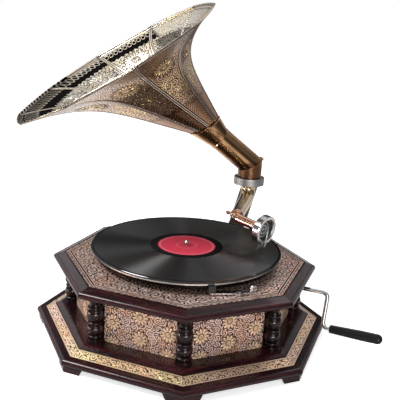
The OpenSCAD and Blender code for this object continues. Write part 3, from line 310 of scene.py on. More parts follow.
band_in, band_out, border_at, leaf_field = 0.1585, 0.171, 0.0050, (0.0046, 0.0042)
leaf_pitch, leaf_cell, stem_swing, band_depth = 0.019, 0.0095, 0.0026, 0.0004
vine_edge, border_edge, gold_reflection_edge = (0.0011, 0.0005), (0.0008, 0.0003), (0.11, 0.05)
band_sheet, tree, place, colour = embossed_metal("band_sheet", 0.30, 0.5, 0.8)
side = use_effect(tree, octagon_side, Place=place)
middle = side["Outward"] - (band_in + band_out) / 2
stem = (side["Along"] * (2 * math.pi / leaf_pitch)).run("SINE") * stem_swing
vine = abs(middle - stem).fade(*vine_edge)
leaf = use_effect(tree, scroll_relief, Across=side["Along"], Down=middle, Cell=leaf_cell, Turns=3.0)["Height"]
border = abs(abs(middle) - border_at).fade(*border_edge)
field_only = abs(middle).fade(*leaf_field)
relief = (leaf * 0.85 * field_only).either(vine * field_only).either(border)
# Towards its left and right sides the band is tinted gold: a painted reflection of the light on those sides.
gold_reflection = abs(split(tree, place)[0]).fade(*gold_reflection_edge) * 0.85
band_colour = two_tone(tree, gold_reflection, (0.98, 0.70, 0.56), (0.98, 0.80, 0.42))
colour(relief, band_depth, (0.035, 0.02, 0.015), band_colour, (0.96, 0.64, 0.40))
wear(band_sheet, "plinth_inlay")


# Eight copper sheets lie on the walls between the columns. Each is embossed with staggered
# daisies, with curling stems and arcs of beads between them.
def distance(first, *others):
    """How far a point lies from the middle, from its coordinates as fields."""
    total = first * first
    for part in others:
        total = total + part * part
    return total.run("SQRT")


valley_share, petal_power, heart_share = 0.38, 0.7, 0.34
vein_end, heart_edge, ring_at, ring_edge = (0.75, 0.5), (0.27, 0.2), 0.31, (0.05, 0.02)
daisy_relief, given, end = open_effect(
    "daisy_relief", ["Across", "Down", "Pitch Across", "Pitch Down", "Stagger", "Radius", "Petals"],
    ["Height", "Flower"])
u = given["Across"] / given["Pitch Across"]
v = given["Down"] / given["Pitch Down"] + (u.run("ROUND") * 0.5).run("FRACT") * given["Stagger"]
du = (u - u.run("ROUND")) * given["Pitch Across"]
dv = (v - v.run("ROUND")) * given["Pitch Down"]
reach = distance(du, dv)
reach_share = reach / given["Radius"]
lobe = abs((dv.run("ARCTAN2", du) * given["Petals"] * 0.5).run("COSINE"))
tip = given["Radius"] * (lobe ** petal_power * (1 - valley_share) + valley_share)
petal = (tip - reach).fade(0.0, given["Radius"] * 0.14)
vein = lobe.fade(0.93, 1.0) * reach_share.fade(*vein_end)
heart = reach_share.fade(*heart_edge)
ring = abs(reach_share - ring_at).fade(*ring_edge)
height = (petal * (lobe * 0.55 + 0.4) - vein * 0.3 - ring * 0.5 + heart * 0.8).either(0.0)
outline = (tip - reach).fade(given["Radius"] * -0.14, given["Radius"] * -0.06)
close_effect(daisy_relief, end, Height=height, Flower=outline)

flower_z, flower_pitch, flower_rise, flower_radius, flower_petals = 0.0385, 0.0355, 0.028, 0.0112, 11
bead_arc_z, bead_arc_radius, bead_edge, beads_round = 0.0525, 0.0165, (0.0011, 0.0006), 44.0
curl_cell, panel_depth = 0.0085, 0.0005
panel_sheet, tree, place, colour = embossed_metal("panel_sheet", 0.42, 0.55, 0.8)
side = use_effect(tree, octagon_side, Place=place)
row = side["Up"] - flower_z
daisy = use_effect(tree, daisy_relief, Across=side["Along"], Down=row, Pitch_Across=flower_pitch,
                   Pitch_Down=flower_rise, Stagger=1.0, Radius=flower_radius, Petals=float(flower_petals))
scroll = use_effect(tree, scroll_relief, Across=side["Along"], Down=row, Cell=curl_cell, Turns=3.0)["Height"]
arc_share = side["Along"] / (2 * flower_pitch) + 0.5
arc_u = (arc_share - arc_share.run("ROUND")) * (2 * flower_pitch)
arc_v = side["Up"] - bead_arc_z
bead_line = abs(distance(arc_u, arc_v) - bead_arc_radius).fade(*bead_edge)
bead = (arc_v.run("ARCTAN2", arc_u) * beads_round).run("SINE").fade(-0.2, 0.3) * bead_line
ground = scroll * 0.72 * daisy["Flower"].flip() * bead_line.flip()
relief = ground.either(daisy["Height"]).either(bead * 0.7 * daisy["Flower"].flip())
ruddy = noise(tree, place, 45.0, 3.0).fade(0.40, 0.60)
sheet_copper = two_tone(tree, ruddy, (0.96, 0.70, 0.62), (0.94, 0.58, 0.42))
sheet_copper = two_tone(tree, daisy["Flower"], sheet_copper, (0.92, 0.64, 0.44))
colour(relief, panel_depth, (0.05, 0.022, 0.018), sheet_copper, sheet_copper)
wear(panel_sheet, "side_panels")


def loft(shape, rings):
    """Skins rings of as many points each; gives each vertex its ring and place, and the open ends."""
    first = bmesh.ops.create_circle(shape, segments=len(rings[0]), radius=1.0)["verts"]
    place_of = {vert: (0, k) for k, vert in enumerate(first)}
    first_edges = list({edge for vert in first for edge in vert.link_edges})
    edges = first_edges
    for row in range(1, len(rings)):
        made = bmesh.ops.extrude_edge_only(shape, edges=edges)["geom"]
        edges = [part for part in made if isinstance(part, bmesh.types.BMEdge)]
        for vert in (part for part in made if isinstance(part, bmesh.types.BMVert)):
            others = [edge.other_vert(vert) for edge in vert.link_edges]
            below = next(other for other in others if other in place_of and place_of[other][0] == row - 1)
            place_of[vert] = (row, place_of[below][1])
    for vert, (row, k) in place_of.items():
        vert.co = rings[row][k][0]
    return place_of, first_edges, edges


# Each ring of a raised flower has its share of the way from heart to petal tip, or to the
# middle where it is negative, and its rise over the sheet; the outermost is sunk in it.
flower_profile = ((1.0, -0.0003), (0.94, 0.0003), (0.7, 0.0007), (0.35, 0.0006), (0.0, 0.0001),
                  (-0.2, 0.0006), (-0.5, 0.0008))
petal_points = 6


def strike_flower(shape, petals, radius, put):
    """Adds one raised flower, closed; put places a point. Gives the rings and each vertex's place."""
    rings = []
    for spread, rise in flower_profile:
        ring = []
        for k in range(petal_points * petals):
            angle = 2 * math.pi * k / (petal_points * petals)
            tip = valley_share + (1 - valley_share) * abs(math.cos(angle * petals / 2)) ** petal_power
            way = tip - heart_share if spread > 0 else heart_share
            reach = radius * (heart_share + way * spread)
            ring.append(put(reach * math.cos(angle), reach * math.sin(angle), rise))
        rings.append(ring)
    place_of, edge_loop, heart_loop = loft(shape, rings)
    bmesh.ops.edgeloop_fill(shape, edges=edge_loop)
    bmesh.ops.edgeloop_fill(shape, edges=heart_loop)
    return rings, place_of


def on_panel(middle, along, outward):
    """Places a point of a flower on a panel's face."""
    def put(across, up, rise):
        return (middle + along * across + Vector((0, 0, up)) + outward * rise,)
    return put


def link_piece(name, shape):
    """Ends a bmesh as an object of that name in the scene."""
    mesh = bpy.data.meshes.new(name)
    shape.to_mesh(mesh)
    shape.free()
    piece = bpy.data.objects.new(name, mesh)
    bpy.context.scene.collection.objects.link(piece)
    return piece


def smooth_outward(shape):
    bmesh.ops.recalc_face_normals(shape, faces=shape.faces)
    for face in shape.faces:
        face.smooth = True


panel_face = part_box("side_panels")[1].y
fittings = [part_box(name) for name in ("crank_escutcheon", "horn_bracket")]
flower_places = ((0, 0.0), (0, 1.0), (-1, 0.5), (1, 0.5))
shape = bmesh.new()
for number in range(8):
    outward = Vector((math.cos(number * side_turn), math.sin(number * side_turn), 0.0))
    along = Vector((-outward.y, outward.x, 0.0))
    for column, height in flower_places:
        middle = outward * panel_face + along * column * flower_pitch
        middle.z = flower_z + height * flower_rise
        covered = [all(low[i] - flower_radius < middle[i] < high[i] + flower_radius for i in range(3))
                   for low, high in fittings]
        if not any(covered):
            strike_flower(shape, flower_petals, flower_radius, on_panel(middle, along, outward))
smooth_outward(shape)
panel_flowers = link_piece("panel_flowers", shape)
panel_flowers.data.materials.append(panel_sheet)
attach(panel_flowers, "case")

# A turned mahogany column stands in each corner between plinth and lid: rings, two
# barrels and a flared cap, polished like the mouldings.
turned_mahogany = polished_wood("turned_mahogany", True, (0.008, 0.0035, 0.0042), (0.026, 0.007, 0.0075))
wear(turned_mahogany, "corner_columns")

# The spring motor hangs from four long bolts under the lid: iron plates, brass wheels
# and bearings, steel arbors, springs and governor. It shows only when the case is open.
machine_marks, given, end = open_effect("machine_marks", ["Place"], ["Streaks", "Spots"])
x, y, z = split(machine_marks, given["Place"])
streaks = noise(machine_marks, join(machine_marks, x, y, z * 6.0), 90.0, 3.0)
spots = noise(machine_marks, given["Place"], 60.0, 4.0, 0.65)
close_effect(machine_marks, end, Streaks=streaks, Spots=spots.fade(0.45, 0.75))
mark_depth = 0.00004


def machined(name, clean, stained, metallic, smooth, rough):
    """A plain surface with tool marks and stains: metal, rubber or leather."""
    material, tree, shader = new_finish(name, {"Metallic": metallic})
    marks = use_effect(tree, machine_marks, Place=at_object(tree))
    stains = marks["Spots"] * 0.6 + marks["Streaks"] * 0.25
    drive(shader, "Base Color", two_tone(tree, stains, clean, stained))
    drive(shader, "Roughness", marks["Streaks"] * (rough - smooth) + smooth)
    emboss(shader, marks["Streaks"], mark_depth)
    return material


gear_brass = machined("gear_brass", (0.80, 0.62, 0.28), (0.50, 0.34, 0.14), 1.0, 0.22, 0.42)
arbor_steel = machined("arbor_steel", (0.62, 0.62, 0.64), (0.36, 0.34, 0.32), 1.0, 0.20, 0.42)
spring_steel = machined("spring_steel", (0.22, 0.25, 0.32), (0.12, 0.11, 0.12), 1.0, 0.25, 0.45)
grey_iron = machined("grey_iron", (0.33, 0.32, 0.31), (0.20, 0.18, 0.165), 0.85, 0.34, 0.55)
black_rubber = machined("black_rubber", (0.020, 0.020, 0.020), (0.035, 0.033, 0.031), 0.0, 0.65, 0.85)
wear(gear_brass, "motor_pillars", "governor_bearings", "winding_bearing", "governor_wheel", "spring_barrel",
     "barrel_cover", "crown_wheel", "middle_wheel", "governor_weights")
wear(arbor_steel, "motor_bolts", "barrel_arbor", "middle_arbor", "governor_shaft", "governor_disc",
     "winding_shaft")
wear(spring_steel, "mainspring", "clutch_spring", "governor_springs")
wear(grey_iron, "motor_bedplate", "motor_lower_plate")
wear(black_rubber, "bolt_washers")

# The deck is one embossed sheet inside the lid's edge, with darker hollows than the panels:
# dense scrolls and small flowers, a double border line and a narrow row of scrolls outside it.
deck_flower_row, deck_flower_pitch, deck_flower_radius, deck_petals = 0.1235, 0.030, 0.0085, 7.0
border_middle, border_gap, scroll_limit = 0.1405, 0.0016, (0.1380, 0.1372)
outer_row_at, outer_row_from, deck_cell, outer_cell = 0.1445, (0.1432, 0.1440), 0.0140, 0.0052
line_edge, lone_row_pitch, deck_depth = (0.0009, 0.0004), 0.5, 0.0005
deck_sheet, tree, place, colour = embossed_metal("deck_sheet", 0.36, 0.5, 0.75)
side = use_effect(tree, octagon_side, Place=place)
edge = side["Outward"]
flower = use_effect(tree, daisy_relief, Across=side["Along"], Down=edge - deck_flower_row,
                    Pitch_Across=deck_flower_pitch, Pitch_Down=lone_row_pitch, Stagger=0.0,
                    Radius=deck_flower_radius, Petals=deck_petals)
scroll = use_effect(tree, scroll_relief, Across=side["Along"], Down=edge, Cell=deck_cell, Turns=2.8)["Height"]
lines = abs(abs(edge - border_middle) - border_gap).fade(*line_edge)
outer_row = use_effect(tree, scroll_relief, Across=side["Along"], Down=edge - outer_row_at, Cell=outer_cell,
                       Turns=1.2)["Height"]
pattern = (scroll * 0.85 * flower["Flower"].flip()).either(flower["Height"]) * edge.fade(*scroll_limit)
relief = pattern.either(lines).either(outer_row * 0.7 * edge.fade(*outer_row_from))
colour(relief, deck_depth, (0.012, 0.008, 0.007), (0.99, 0.74, 0.64), (0.96, 0.61, 0.49))
wear(deck_sheet, "deck_inlay")

# The turntable is an iron platter with a polished lip; below the lip its side is painted black,
# as the shade under the record's edge. It carries a green felt mat and sits on a worn nickelled spindle.
lip_z = (0.1068, 0.1072)
platter_iron, tree, shader = new_finish("platter_iron", {"Metallic": 1.0, "Roughness": 0.22})
lip = split(tree, at_object(tree))[2].fade(*lip_z)
# Below the lip the platter is painted black, as the shade under the record's edge.
drive(shader, "Base Color", two_tone(tree, lip, (0.012, 0.011, 0.011), (0.85, 0.84, 0.82)))
wear(platter_iron, "platter")
worn_nickel = machined("worn_nickel", (0.52, 0.52, 0.53), (0.30, 0.29, 0.28), 1.0, 0.12, 0.30)
wear(worn_nickel, "spindle")

pile_depth = 0.0004
felt, tree, shader = new_finish(
    "green_felt", {"Roughness": 0.95, "Sheen Weight": 0.4, "Sheen Roughness": 0.6})
fibre = noise(tree, at_object(tree), 1400.0, 3.0, 0.7)
drive(shader, "Base Color", two_tone(tree, fibre, (0.020, 0.045, 0.026), (0.050, 0.095, 0.055)))
emboss(shader, fibre, pile_depth)
wear(felt, "felt_mat")

# The brake lever turns on a post and carries a rubber pad beside the platter's rim; the
# regulator's nickelled arm carries a leather pad beside the governor's disc.
nickel = machined("nickel", (0.80, 0.79, 0.76), (0.60, 0.57, 0.53), 1.0, 0.07, 0.20)
brown_leather = machined("brown_leather", (0.25, 0.12, 0.05), (0.14, 0.065, 0.03), 0.0, 0.55, 0.8)
wear(worn_nickel, "brake_post", "brake_lever")
wear(black_rubber, "brake_pad")
wear(nickel, "speed_regulator")
wear(brown_leather, "regulator_pad")

# The record is pressed shellac: fine grooves between a smooth edge and a run-out ring
# round the label. The grooves spread each highlight into a bright wedge.
groove_outer, groove_inner, groove_pitch, groove_depth = (0.1215, 0.1208), (0.0475, 0.0485), 0.0009, 0.00006
shellac, tree, shader = new_finish(
    "grooved_shellac", {"Base Color": (0.004, 0.004, 0.0045, 1.0), "Specular IOR Level": 0.8,
                        "Anisotropic": 1.0, "Anisotropic Rotation": 0.25})
x, y = split(tree, at_object(tree))[:2]
radius = distance(x, y)
grooves = radius.fade(*groove_outer) * radius.fade(*groove_inner)
bands = noise(tree, join(tree, radius, 0.0, 0.0), 620.0, 2.0, 0.7)
drive(shader, "Roughness", grooves * (bands * 0.20 + 0.18) + 0.12)
groove_wave = (radius * (2 * math.pi / groove_pitch)).run("SINE") * 0.5 + 0.5
emboss(shader, groove_wave * grooves * bands, groove_depth)
tangent = tree.nodes.new("ShaderNodeTangent")
tangent.direction_type = "RADIAL"
tangent.axis = "Z"
tree.links.new(tangent.outputs[0], shader.inputs["Tangent"])
wear(shellac, "record_disc")

# The label is plain crimson paper with two pale printed rings, a little faded, and is
# pressed into both faces of the record.
outer_ring, outer_ring_edge, inner_ring, inner_ring_edge = 0.0352, (0.0012, 0.0008), 0.0135, (0.0007, 0.0004)
paper_depth = 0.00003
label_paper, tree, shader = new_finish("label_paper", {"Roughness": 0.55})
place = at_object(tree)
x, y = split(tree, place)[:2]
radius = distance(x, y)
rings = abs(radius - outer_ring).fade(*outer_ring_edge)
rings = rings.either(abs(radius - inner_ring).fade(*inner_ring_edge))
mottle = noise(tree, place, 120.0, 4.0, 0.6)
paper = two_tone(tree, mottle, (0.58, 0.018, 0.050), (0.76, 0.042, 0.092))
drive(shader, "Base Color", two_tone(tree, rings * 0.75, paper, (0.72, 0.20, 0.26)))
emboss(shader, mottle, paper_depth)
wear(label_paper, "record_labels")

# The crank is a bent plated rod with a turned black grip; a brass escutcheon guards its
# hole in the side panel.
crank_chrome = machined("crank_chrome", (0.86, 0.86, 0.87), (0.70, 0.69, 0.68), 1.0, 0.05, 0.14)
wear(crank_chrome, "crank_rod")
wear(gear_brass, "crank_escutcheon")
scuff_depth = 0.00005
grip_lacquer, tree, shader = new_finish(
    "grip_lacquer", {"Coat Weight": 0.3, "Coat Roughness": 0.06, "Specular IOR Level": 0.05})
scuff = noise(tree, at_object(tree), 240.0, 4.0, 0.6)
drive(shader, "Base Color", two_tone(tree, scuff, (0.005, 0.005, 0.006), (0.014, 0.013, 0.014)))
drive(shader, "Roughness", scuff * 0.3 + 0.2)
emboss(shader, scuff, scuff_depth)
wear(grip_lacquer, "crank_grip")

# The horn's bracket is grey iron, screwed to the back of the case; its collar carries the
# horn above and the tonearm below.
wear(grey_iron, "horn_bracket")
wear(gear_brass, "bracket_screws")

# The tonearm is polished brass tube; its gooseneck is coppered and turns up about the
# arm to lift the needle. The nickelled soundbox holds a ribbed foil diaphragm.
polished_brass = machined("polished_brass", (0.80, 0.64, 0.42), (0.44, 0.30, 0.18), 1.0, 0.12, 0.30)
wear(polished_brass, "tonearm_tube")
copper_tube = machined("copper_tube", (0.86, 0.58, 0.44), (0.60, 0.34, 0.24), 1.0, 0.10, 0.24)
wear(copper_tube, "gooseneck", "gooseneck_screw")
wear(worn_nickel, "soundbox_case")
wear(nickel, "soundbox_ring")
wear(black_rubber, "soundbox_gaskets")
wear(arbor_steel, "stylus_bar", "needle")

foil_middle, rib_pitch, rib_depth = Vector((0.09268, 0.03678, 0.13983)), 0.0046, 0.0006
foil, tree, shader = new_finish("ribbed_foil", {"Metallic": 1.0, "Roughness": 0.34})
x, y, z = split(tree, at_object(tree))
radius = distance(x - foil_middle.x, y - foil_middle.y, z - foil_middle.z)
ribs = (radius * (2 * math.pi / rib_pitch)).run("SINE") * 0.5 + 0.5
# The hollows between the ribs are painted dark, as shade.
drive(shader, "Base Color", two_tone(tree, ribs, (0.10, 0.10, 0.11), (0.74, 0.74, 0.75)))
emboss(shader, ribs, rib_depth)
wear(foil, "soundbox_diaphragm")

# The horn's elbow and ferrule are brass tube gone brown, with streaks drawn along them.
# The short stub under the mitre, in the collar, is painted darkest, as a dark reflection.
swivel = Vector((0.031, 0.16801, 0.0))
heading = math.radians(-144.4)
neck_length, neck_rise, mitre_height = 0.0964, math.radians(37.5), 0.1961
stub_reflection_edge, streak_stretch, streak_depth = (0.205, 0.190), 0.05, 0.00005
aged_brass, tree, shader = new_finish("aged_brass", {"Metallic": 1.0})
place = at_object(tree)
x, y, z = split(tree, place)
forward = x * math.cos(heading) + y * math.sin(heading)
around = y * math.cos(heading) - x * math.sin(heading)
drawn = forward * math.cos(neck_rise) + z * math.sin(neck_rise)
upper = z * math.cos(neck_rise) - forward * math.sin(neck_rise)
streaks = noise(tree, join(tree, drawn * streak_stretch, around, upper), 190.0, 3.0, 0.6)
spots = noise(tree, place, 70.0, 4.0, 0.65)
# The stub is painted dark, as a reflection, and that dark is added to the real tarnish.
stub_dark_reflection = z.fade(*stub_reflection_edge)
tarnish_and_dark_reflection = (streaks * 0.95 + spots * 0.22 + stub_dark_reflection * 0.55).fade(0.46, 0.80)
drawn_brass = two_tone(tree, tarnish_and_dark_reflection, (0.66, 0.40, 0.20), (0.22, 0.10, 0.05))
drive(shader, "Base Color", two_tone(tree, stub_dark_reflection * 0.7, drawn_brass, (0.085, 0.045, 0.024)))
drive(shader, "Roughness", streaks * 0.20 + 0.10)
emboss(shader, streaks, streak_depth)
wear(aged_brass, "horn_elbow", "horn_ferrule")

# The horn's bell is ten gores of embossed brass sheet, folded together in flat raised
# seams and rolled over a wire at the mouth. It stands on the ferrule's end.
gore_count, first_seam = 10, math.radians(2.0)
gore_half = math.pi / gore_count
bell_length, bell_rise = 0.1566, math.radians(32.1)
throat_radius, mouth_radius, mouth_rise = 0.0244, 0.1565, math.radians(56.8)
flare, flare_power, sheet, wire = 0.5, 6.5, 0.001, 0.0016
seam_edge, seam_raise, inner_raise, seam_fade = 0.0017, 0.0007, 0.6, 0.025
mouth_axis = Vector((math.cos(mouth_rise), 0.0, math.sin(mouth_rise)))
# Across a seam: each point's place in edge widths and its share of the seam's height.
seam_profile = ((-1.5, 0.0), (-1.0, 1.0), (-0.55, 0.25), (0.0, 0.15), (0.55, 0.25), (1.0, 1.0), (1.5, 0.0))
field_points = 10
ridge_heights = [height for _, height in seam_profile] + [0.0] * field_points


def bell_radius(share):
    swell = flare * share + (1 - flare) * share ** flare_power
    return throat_radius + (mouth_radius - throat_radius) * swell


def bell_point(share, angle, grow):
    """A point of the sheet, with grow as its height over the outer face, and its outward direction."""
    reach = neck_length * math.cos(neck_rise) + bell_length * share * math.cos(bell_rise)
    height = mitre_height + neck_length * math.sin(neck_rise) + bell_length * share * math.sin(bell_rise)
    turned = first_seam + angle
    out = Vector((-math.sin(turned) * mouth_axis.z, math.cos(turned), math.sin(turned) * mouth_axis.x))
    off = (angle + gore_half) % (2 * gore_half) - gore_half
    flat = (1 + math.cos(gore_half) / math.cos(gore_half - abs(off))) / 2
    return Vector((reach, 0.0, height)) + out * (bell_radius(share) * flat + grow), out


def bell_angles(share):
    """Angles round a ring from its first seam: each gore has its seam's two ridges and a smooth field."""
    radius = bell_radius(share)
    ridge = [place * seam_edge / radius for place, _ in seam_profile]
    width = 2 * gore_half - 2 * ridge[-1]
    field = [ridge[-1] + width * k / (field_points + 1) for k in range(1, field_points + 1)]
    return [2 * gore_half * gore + angle for gore in range(gore_count) for angle in ridge + field]


def face_ring(share, length, inner):
    """A ring of the sheet's outer or inner face; the seams flatten out towards the mouth."""
    fold = seam_raise * min(1.0, (1 - share) / seam_fade)
    ring = []
    for k, angle in enumerate(bell_angles(share)):
        lift = fold * ridge_heights[k % len(ridge_heights)]
        grow = -sheet - inner_raise * lift if inner else lift
        ring.append((bell_point(share, angle, grow)[0], angle, share, length))
    return ring


rows, row_crowding = 56, 1.3
shares = [1 - (1 - i / rows) ** row_crowding for i in range(rows + 1)]
lengths = [0.0]
for low, high in zip(shares, shares[1:]):
    step = bell_point(high, 0.0, 0.0)[0] - bell_point(low, 0.0, 0.0)[0]
    lengths.append(lengths[-1] + step.length)
top_length = lengths[-1]

rings = [face_ring(share, length, False) for share, length in zip(shares, lengths)]
wire_degrees = range(-65, 246, 31)
for degrees in wire_degrees:
    swing = math.radians(degrees)
    ring = []
    for angle in bell_angles(1.0):
        edge, out = bell_point(1.0, angle, -sheet / 2)
        edge += wire * (mouth_axis * (1 + math.sin(swing)) + out * math.cos(swing))
        ring.append((edge, angle, 1.0, top_length))
    rings.append(ring)
rings += [face_ring(share, length, True) for share, length in reversed(list(zip(shares, lengths)))]

turn_horn = Matrix.Translation(swivel) @ Matrix.Rotation(heading, 4, "Z")
first_inner_ring = rows + 5
shape = bmesh.new()
place_of, throat_loop, inner_loop = loft(shape, rings)
bmesh.ops.bridge_loops(shape, edges=throat_loop + inner_loop)
bmesh.ops.transform(shape, matrix=turn_horn, verts=shape.verts)
across_map = shape.loops.layers.uv.new("gore")
metre_map = shape.loops.layers.uv.new("sheet")
for face in shape.faces:
    face.material_index = 0 if min(place_of[vert][0] for vert in face.verts) < first_inner_ring else 1
    angles = [rings[place_of[vert][0]][place_of[vert][1]][1] for vert in face.verts]
    if max(angles) - min(angles) > math.pi:
        angles = [angle + 2 * math.pi if angle < math.pi else angle for angle in angles]
    gore = math.floor(sum(angles) / len(angles) / (2 * gore_half))
    for loop, angle in zip(face.loops, angles):
        row, k = place_of[loop.vert]
        share, length = rings[row][k][2:]
        across = angle / gore_half - 2 * gore - 1
        loop[across_map].uv = (across, length / top_length)
        loop[metre_map].uv = (across * gore_half * bell_radius(share), length)
smooth_outward(shape)
bell = link_piece("horn_sheet", shape)

# Each gore has two medallions, one on its outer face and one on its inner face, at about
# two thirds of its length, struck with the sheet: share of the length, radius and petals.
outer_medallion, inner_medallion = (0.68, 0.019, 20), (0.70, 0.022, 18)


def on_gore(gore, along, inner):
    """Places a point of a medallion on that gore's face."""
    def put(across, up, rise):
        length = along * top_length + up
        row = next(i for i in range(rows) if lengths[i + 1] >= length)
        step = (length - lengths[row]) / (lengths[row + 1] - lengths[row])
        share = shares[row] + (shares[row + 1] - shares[row]) * step
        angle = across / bell_radius(share)
        grow = -sheet - rise if inner else rise
        point = bell_point(share, (2 * gore + 1) * gore_half + angle, grow)[0]
        return point, angle / gore_half, across, length
    return put


shape = bmesh.new()
across_map = shape.loops.layers.uv.new("gore")
metre_map = shape.loops.layers.uv.new("sheet")
for gore in range(gore_count):
    for inner, (along, radius, petals) in enumerate((outer_medallion, inner_medallion)):
        rings, place_of = strike_flower(shape, petals, radius, on_gore(gore, along, inner))
        for face in {face for vert in place_of for face in vert.link_faces}:
            face.material_index = inner
            for loop in face.loops:
                row, k = place_of[loop.vert]
                across, metres, length = rings[row][k][1:]
                loop[across_map].uv = (across, length / top_length)
                loop[metre_map].uv = (metres, length)
bmesh.ops.transform(shape, matrix=turn_horn, verts=shape.verts)
smooth_outward(shape)
medallions = link_piece("horn_medallions", shape)


# Outside, the horn's sheet is brown with gilt scrolls in the middle of each gore and chevrons
# near the throat. Inside it is pale, with a black band and bright loops under the mouth; the
# black band is a painted dark reflection.
def along_gore(tree):
    """The gore's own coordinates: share along, metres across and along, and metres from the seam."""
    parts = []
    for name in ("gore", "sheet"):
        node = tree.nodes.new("ShaderNodeUVMap")
        node.uv_map = name
        parts += split(tree, node.outputs[0])[:2]
    across, along, metres_across, metres_along = parts
    half = abs(metres_across) / abs(across).either(0.001)
    return along, metres_across, metres_along, half - abs(metres_across)


def gore_medallion(tree, across, down, along, radius, petals):
    """The medallion's relief on the sheet, one to a gore."""
    return use_effect(tree, daisy_relief, Across=across, Down=down - along * top_length, Pitch_Across=1.0,
                      Pitch_Down=1.0, Stagger=0.0, Radius=radius, Petals=float(petals))


fold_soft, groove_off, groove_edge, slit_soft = 0.0004, 0.0006, (0.0008, 0.0004), 0.0005


def fold_seam(relief, seam, fold_half, slit_half, raised, sunk):
    """Adds a seam to a gore's relief: a flat fold, a groove beside it and a slit along its middle."""
    fold = seam.fade(fold_half, fold_half - fold_soft)
    groove = abs(seam - (fold_half + groove_off)).fade(*groove_edge)
    slit = seam.fade(slit_half, slit_half - slit_soft)
    return (relief * groove.flip()).either(fold * raised) - slit * sunk, fold


lip_share, leaf_from, leaf_to, chevron_end = (0.982, 0.988), (0.34, 0.40), (0.58, 0.52), (0.32, 0.24)
gilt_cell, chevron_pitch, chevron_slope, outside_depth = 0.0095, 0.005, 1.3, 0.0005
horn_outside, tree, place, colour = embossed_metal("horn_outside", 0.15, 0.34, 1.0)
along, metres_across, metres_along, seam = along_gore(tree)
medallion = gore_medallion(tree, metres_across, metres_along, *outer_medallion)
ragged = along + noise(tree, place, 60.0, 3.0) * 0.10 - 0.05
scroll = use_effect(tree, scroll_relief, Across=metres_across, Down=metres_along, Cell=gilt_cell,
                    Turns=2.6)["Height"]
chevron_way = abs(metres_across) * chevron_slope + metres_along
chevron = (chevron_way * (2 * math.pi / chevron_pitch)).run("SINE").fade(-0.9, 0.3)
leaf_zone = ragged.fade(*leaf_from) * ragged.fade(*leaf_to)
low_zone = ragged.fade(*chevron_end)
lip = along.fade(*lip_share)
ground = (scroll * 0.75 * low_zone.flip()).either((chevron * 0.3 + 0.35) * low_zone)
relief = (ground * medallion["Flower"].flip()).either(medallion["Height"]).either(lip * 0.6)
relief, fold = fold_seam(relief, seam, 0.0024, 0.0009, 0.9, 0.7)
gilt = (leaf_zone * noise(tree, place, 110.0, 2.0).fade(0.44, 0.56)).either(medallion["Flower"] * 0.7)
brown = two_tone(tree, gilt, (0.66, 0.44, 0.29), (0.94, 0.68, 0.36))
brown = two_tone(tree, low_zone, brown, (0.60, 0.33, 0.20))
brown = two_tone(tree, fold, brown, (0.80, 0.66, 0.54))
brown = two_tone(tree, lip, brown, (0.42, 0.34, 0.27))
colour(relief, outside_depth, (0.07, 0.035, 0.022), brown, brown)


def distance_along(parts, direction):
    """How far a point, given as three fields, lies in a direction."""
    return parts[0] * direction[0] + parts[1] * direction[1] + parts[2] * direction[2]


band_share, edge_line_share, inside_cell, inside_depth = 0.825, 0.972, 0.013, 0.0006
loop_pitch, ripple_height, band_height, loop_middle, loop_half = 0.0085, 0.004, 0.030, 0.0195, 0.0075
top_level, far_level, far_end = (0.090, 0.080), (0.070, 0.080), (-0.002, -0.008)
edge_line_edge = (0.0011, 0.0006)
comb_level, comb_start, comb_taller, comb_lift, comb_longer = (-0.045, -0.085), 0.003, 0.02, 0.006, 0.008
horn_inside, tree, place, colour = embossed_metal("horn_inside", 0.30, 0.42, 1.0)
along, metres_across, metres_along, seam = along_gore(tree)
medallion = gore_medallion(tree, metres_across, metres_along, *inner_medallion)
scroll = use_effect(tree, scroll_relief, Across=metres_across, Down=metres_along, Cell=inside_cell,
                    Turns=2.4)["Height"]
oval = (metres_across / loop_pitch).run("FRACT") - 0.5
ripple = (oval * math.pi).run("COSINE") * ripple_height
band = metres_along - band_share * top_length
mouth_middle = turn_horn @ ((bell_point(1.0, 0.0, 0.0)[0] + bell_point(1.0, math.pi, 0.0)[0]) / 2)
mouth_up = turn_horn.to_3x3() @ Vector((-mouth_axis.z, 0.0, mouth_axis.x))
level = distance_along(split(tree, place), mouth_up) - mouth_middle.dot(mouth_up)
# At the top of the mouth the band gives way to a dark field below it; band and field are a
# painted dark reflection. At its foot, where the loops stand like a comb, the band is taller
# and the loops are longer and thinner.
shaded = level.fade(*top_level)
comb = level.fade(*comb_level)
band_top = comb * comb_taller + band_height
band_start = (band + ripple + comb * comb_start).fade(0.0, 0.0015)
dark_reflection_band = band_start * (band + ripple).fade(band_top, band_top - 0.002) * shaded
loop_along = (band - comb * comb_lift - loop_middle) / (comb * comb_longer + loop_half)
ellipse = distance(oval * 2.1, loop_along)
arc = abs(ellipse - 0.8).fade(comb * -0.08 + 0.19, comb * -0.05 + 0.10) * shaded
far_dark_reflection = level.fade(*far_level) * band.fade(*far_end) * 0.8
edge_line = abs(metres_along - edge_line_share * top_length).fade(*edge_line_edge)
field_zone = band.fade(0.0, -0.001)
relief = (scroll * 0.75 * medallion["Flower"].flip()).either(medallion["Height"]) * field_zone
relief = relief.either(field_zone.flip() * (scroll * 0.3 + 0.45)) * dark_reflection_band.flip()
relief = (relief.either(arc * 0.95) * edge_line.flip()).either(along.fade(*lip_share) * 0.8)
relief, fold = fold_seam(relief, seam, 0.0026, 0.0010, 0.95, 0.8)
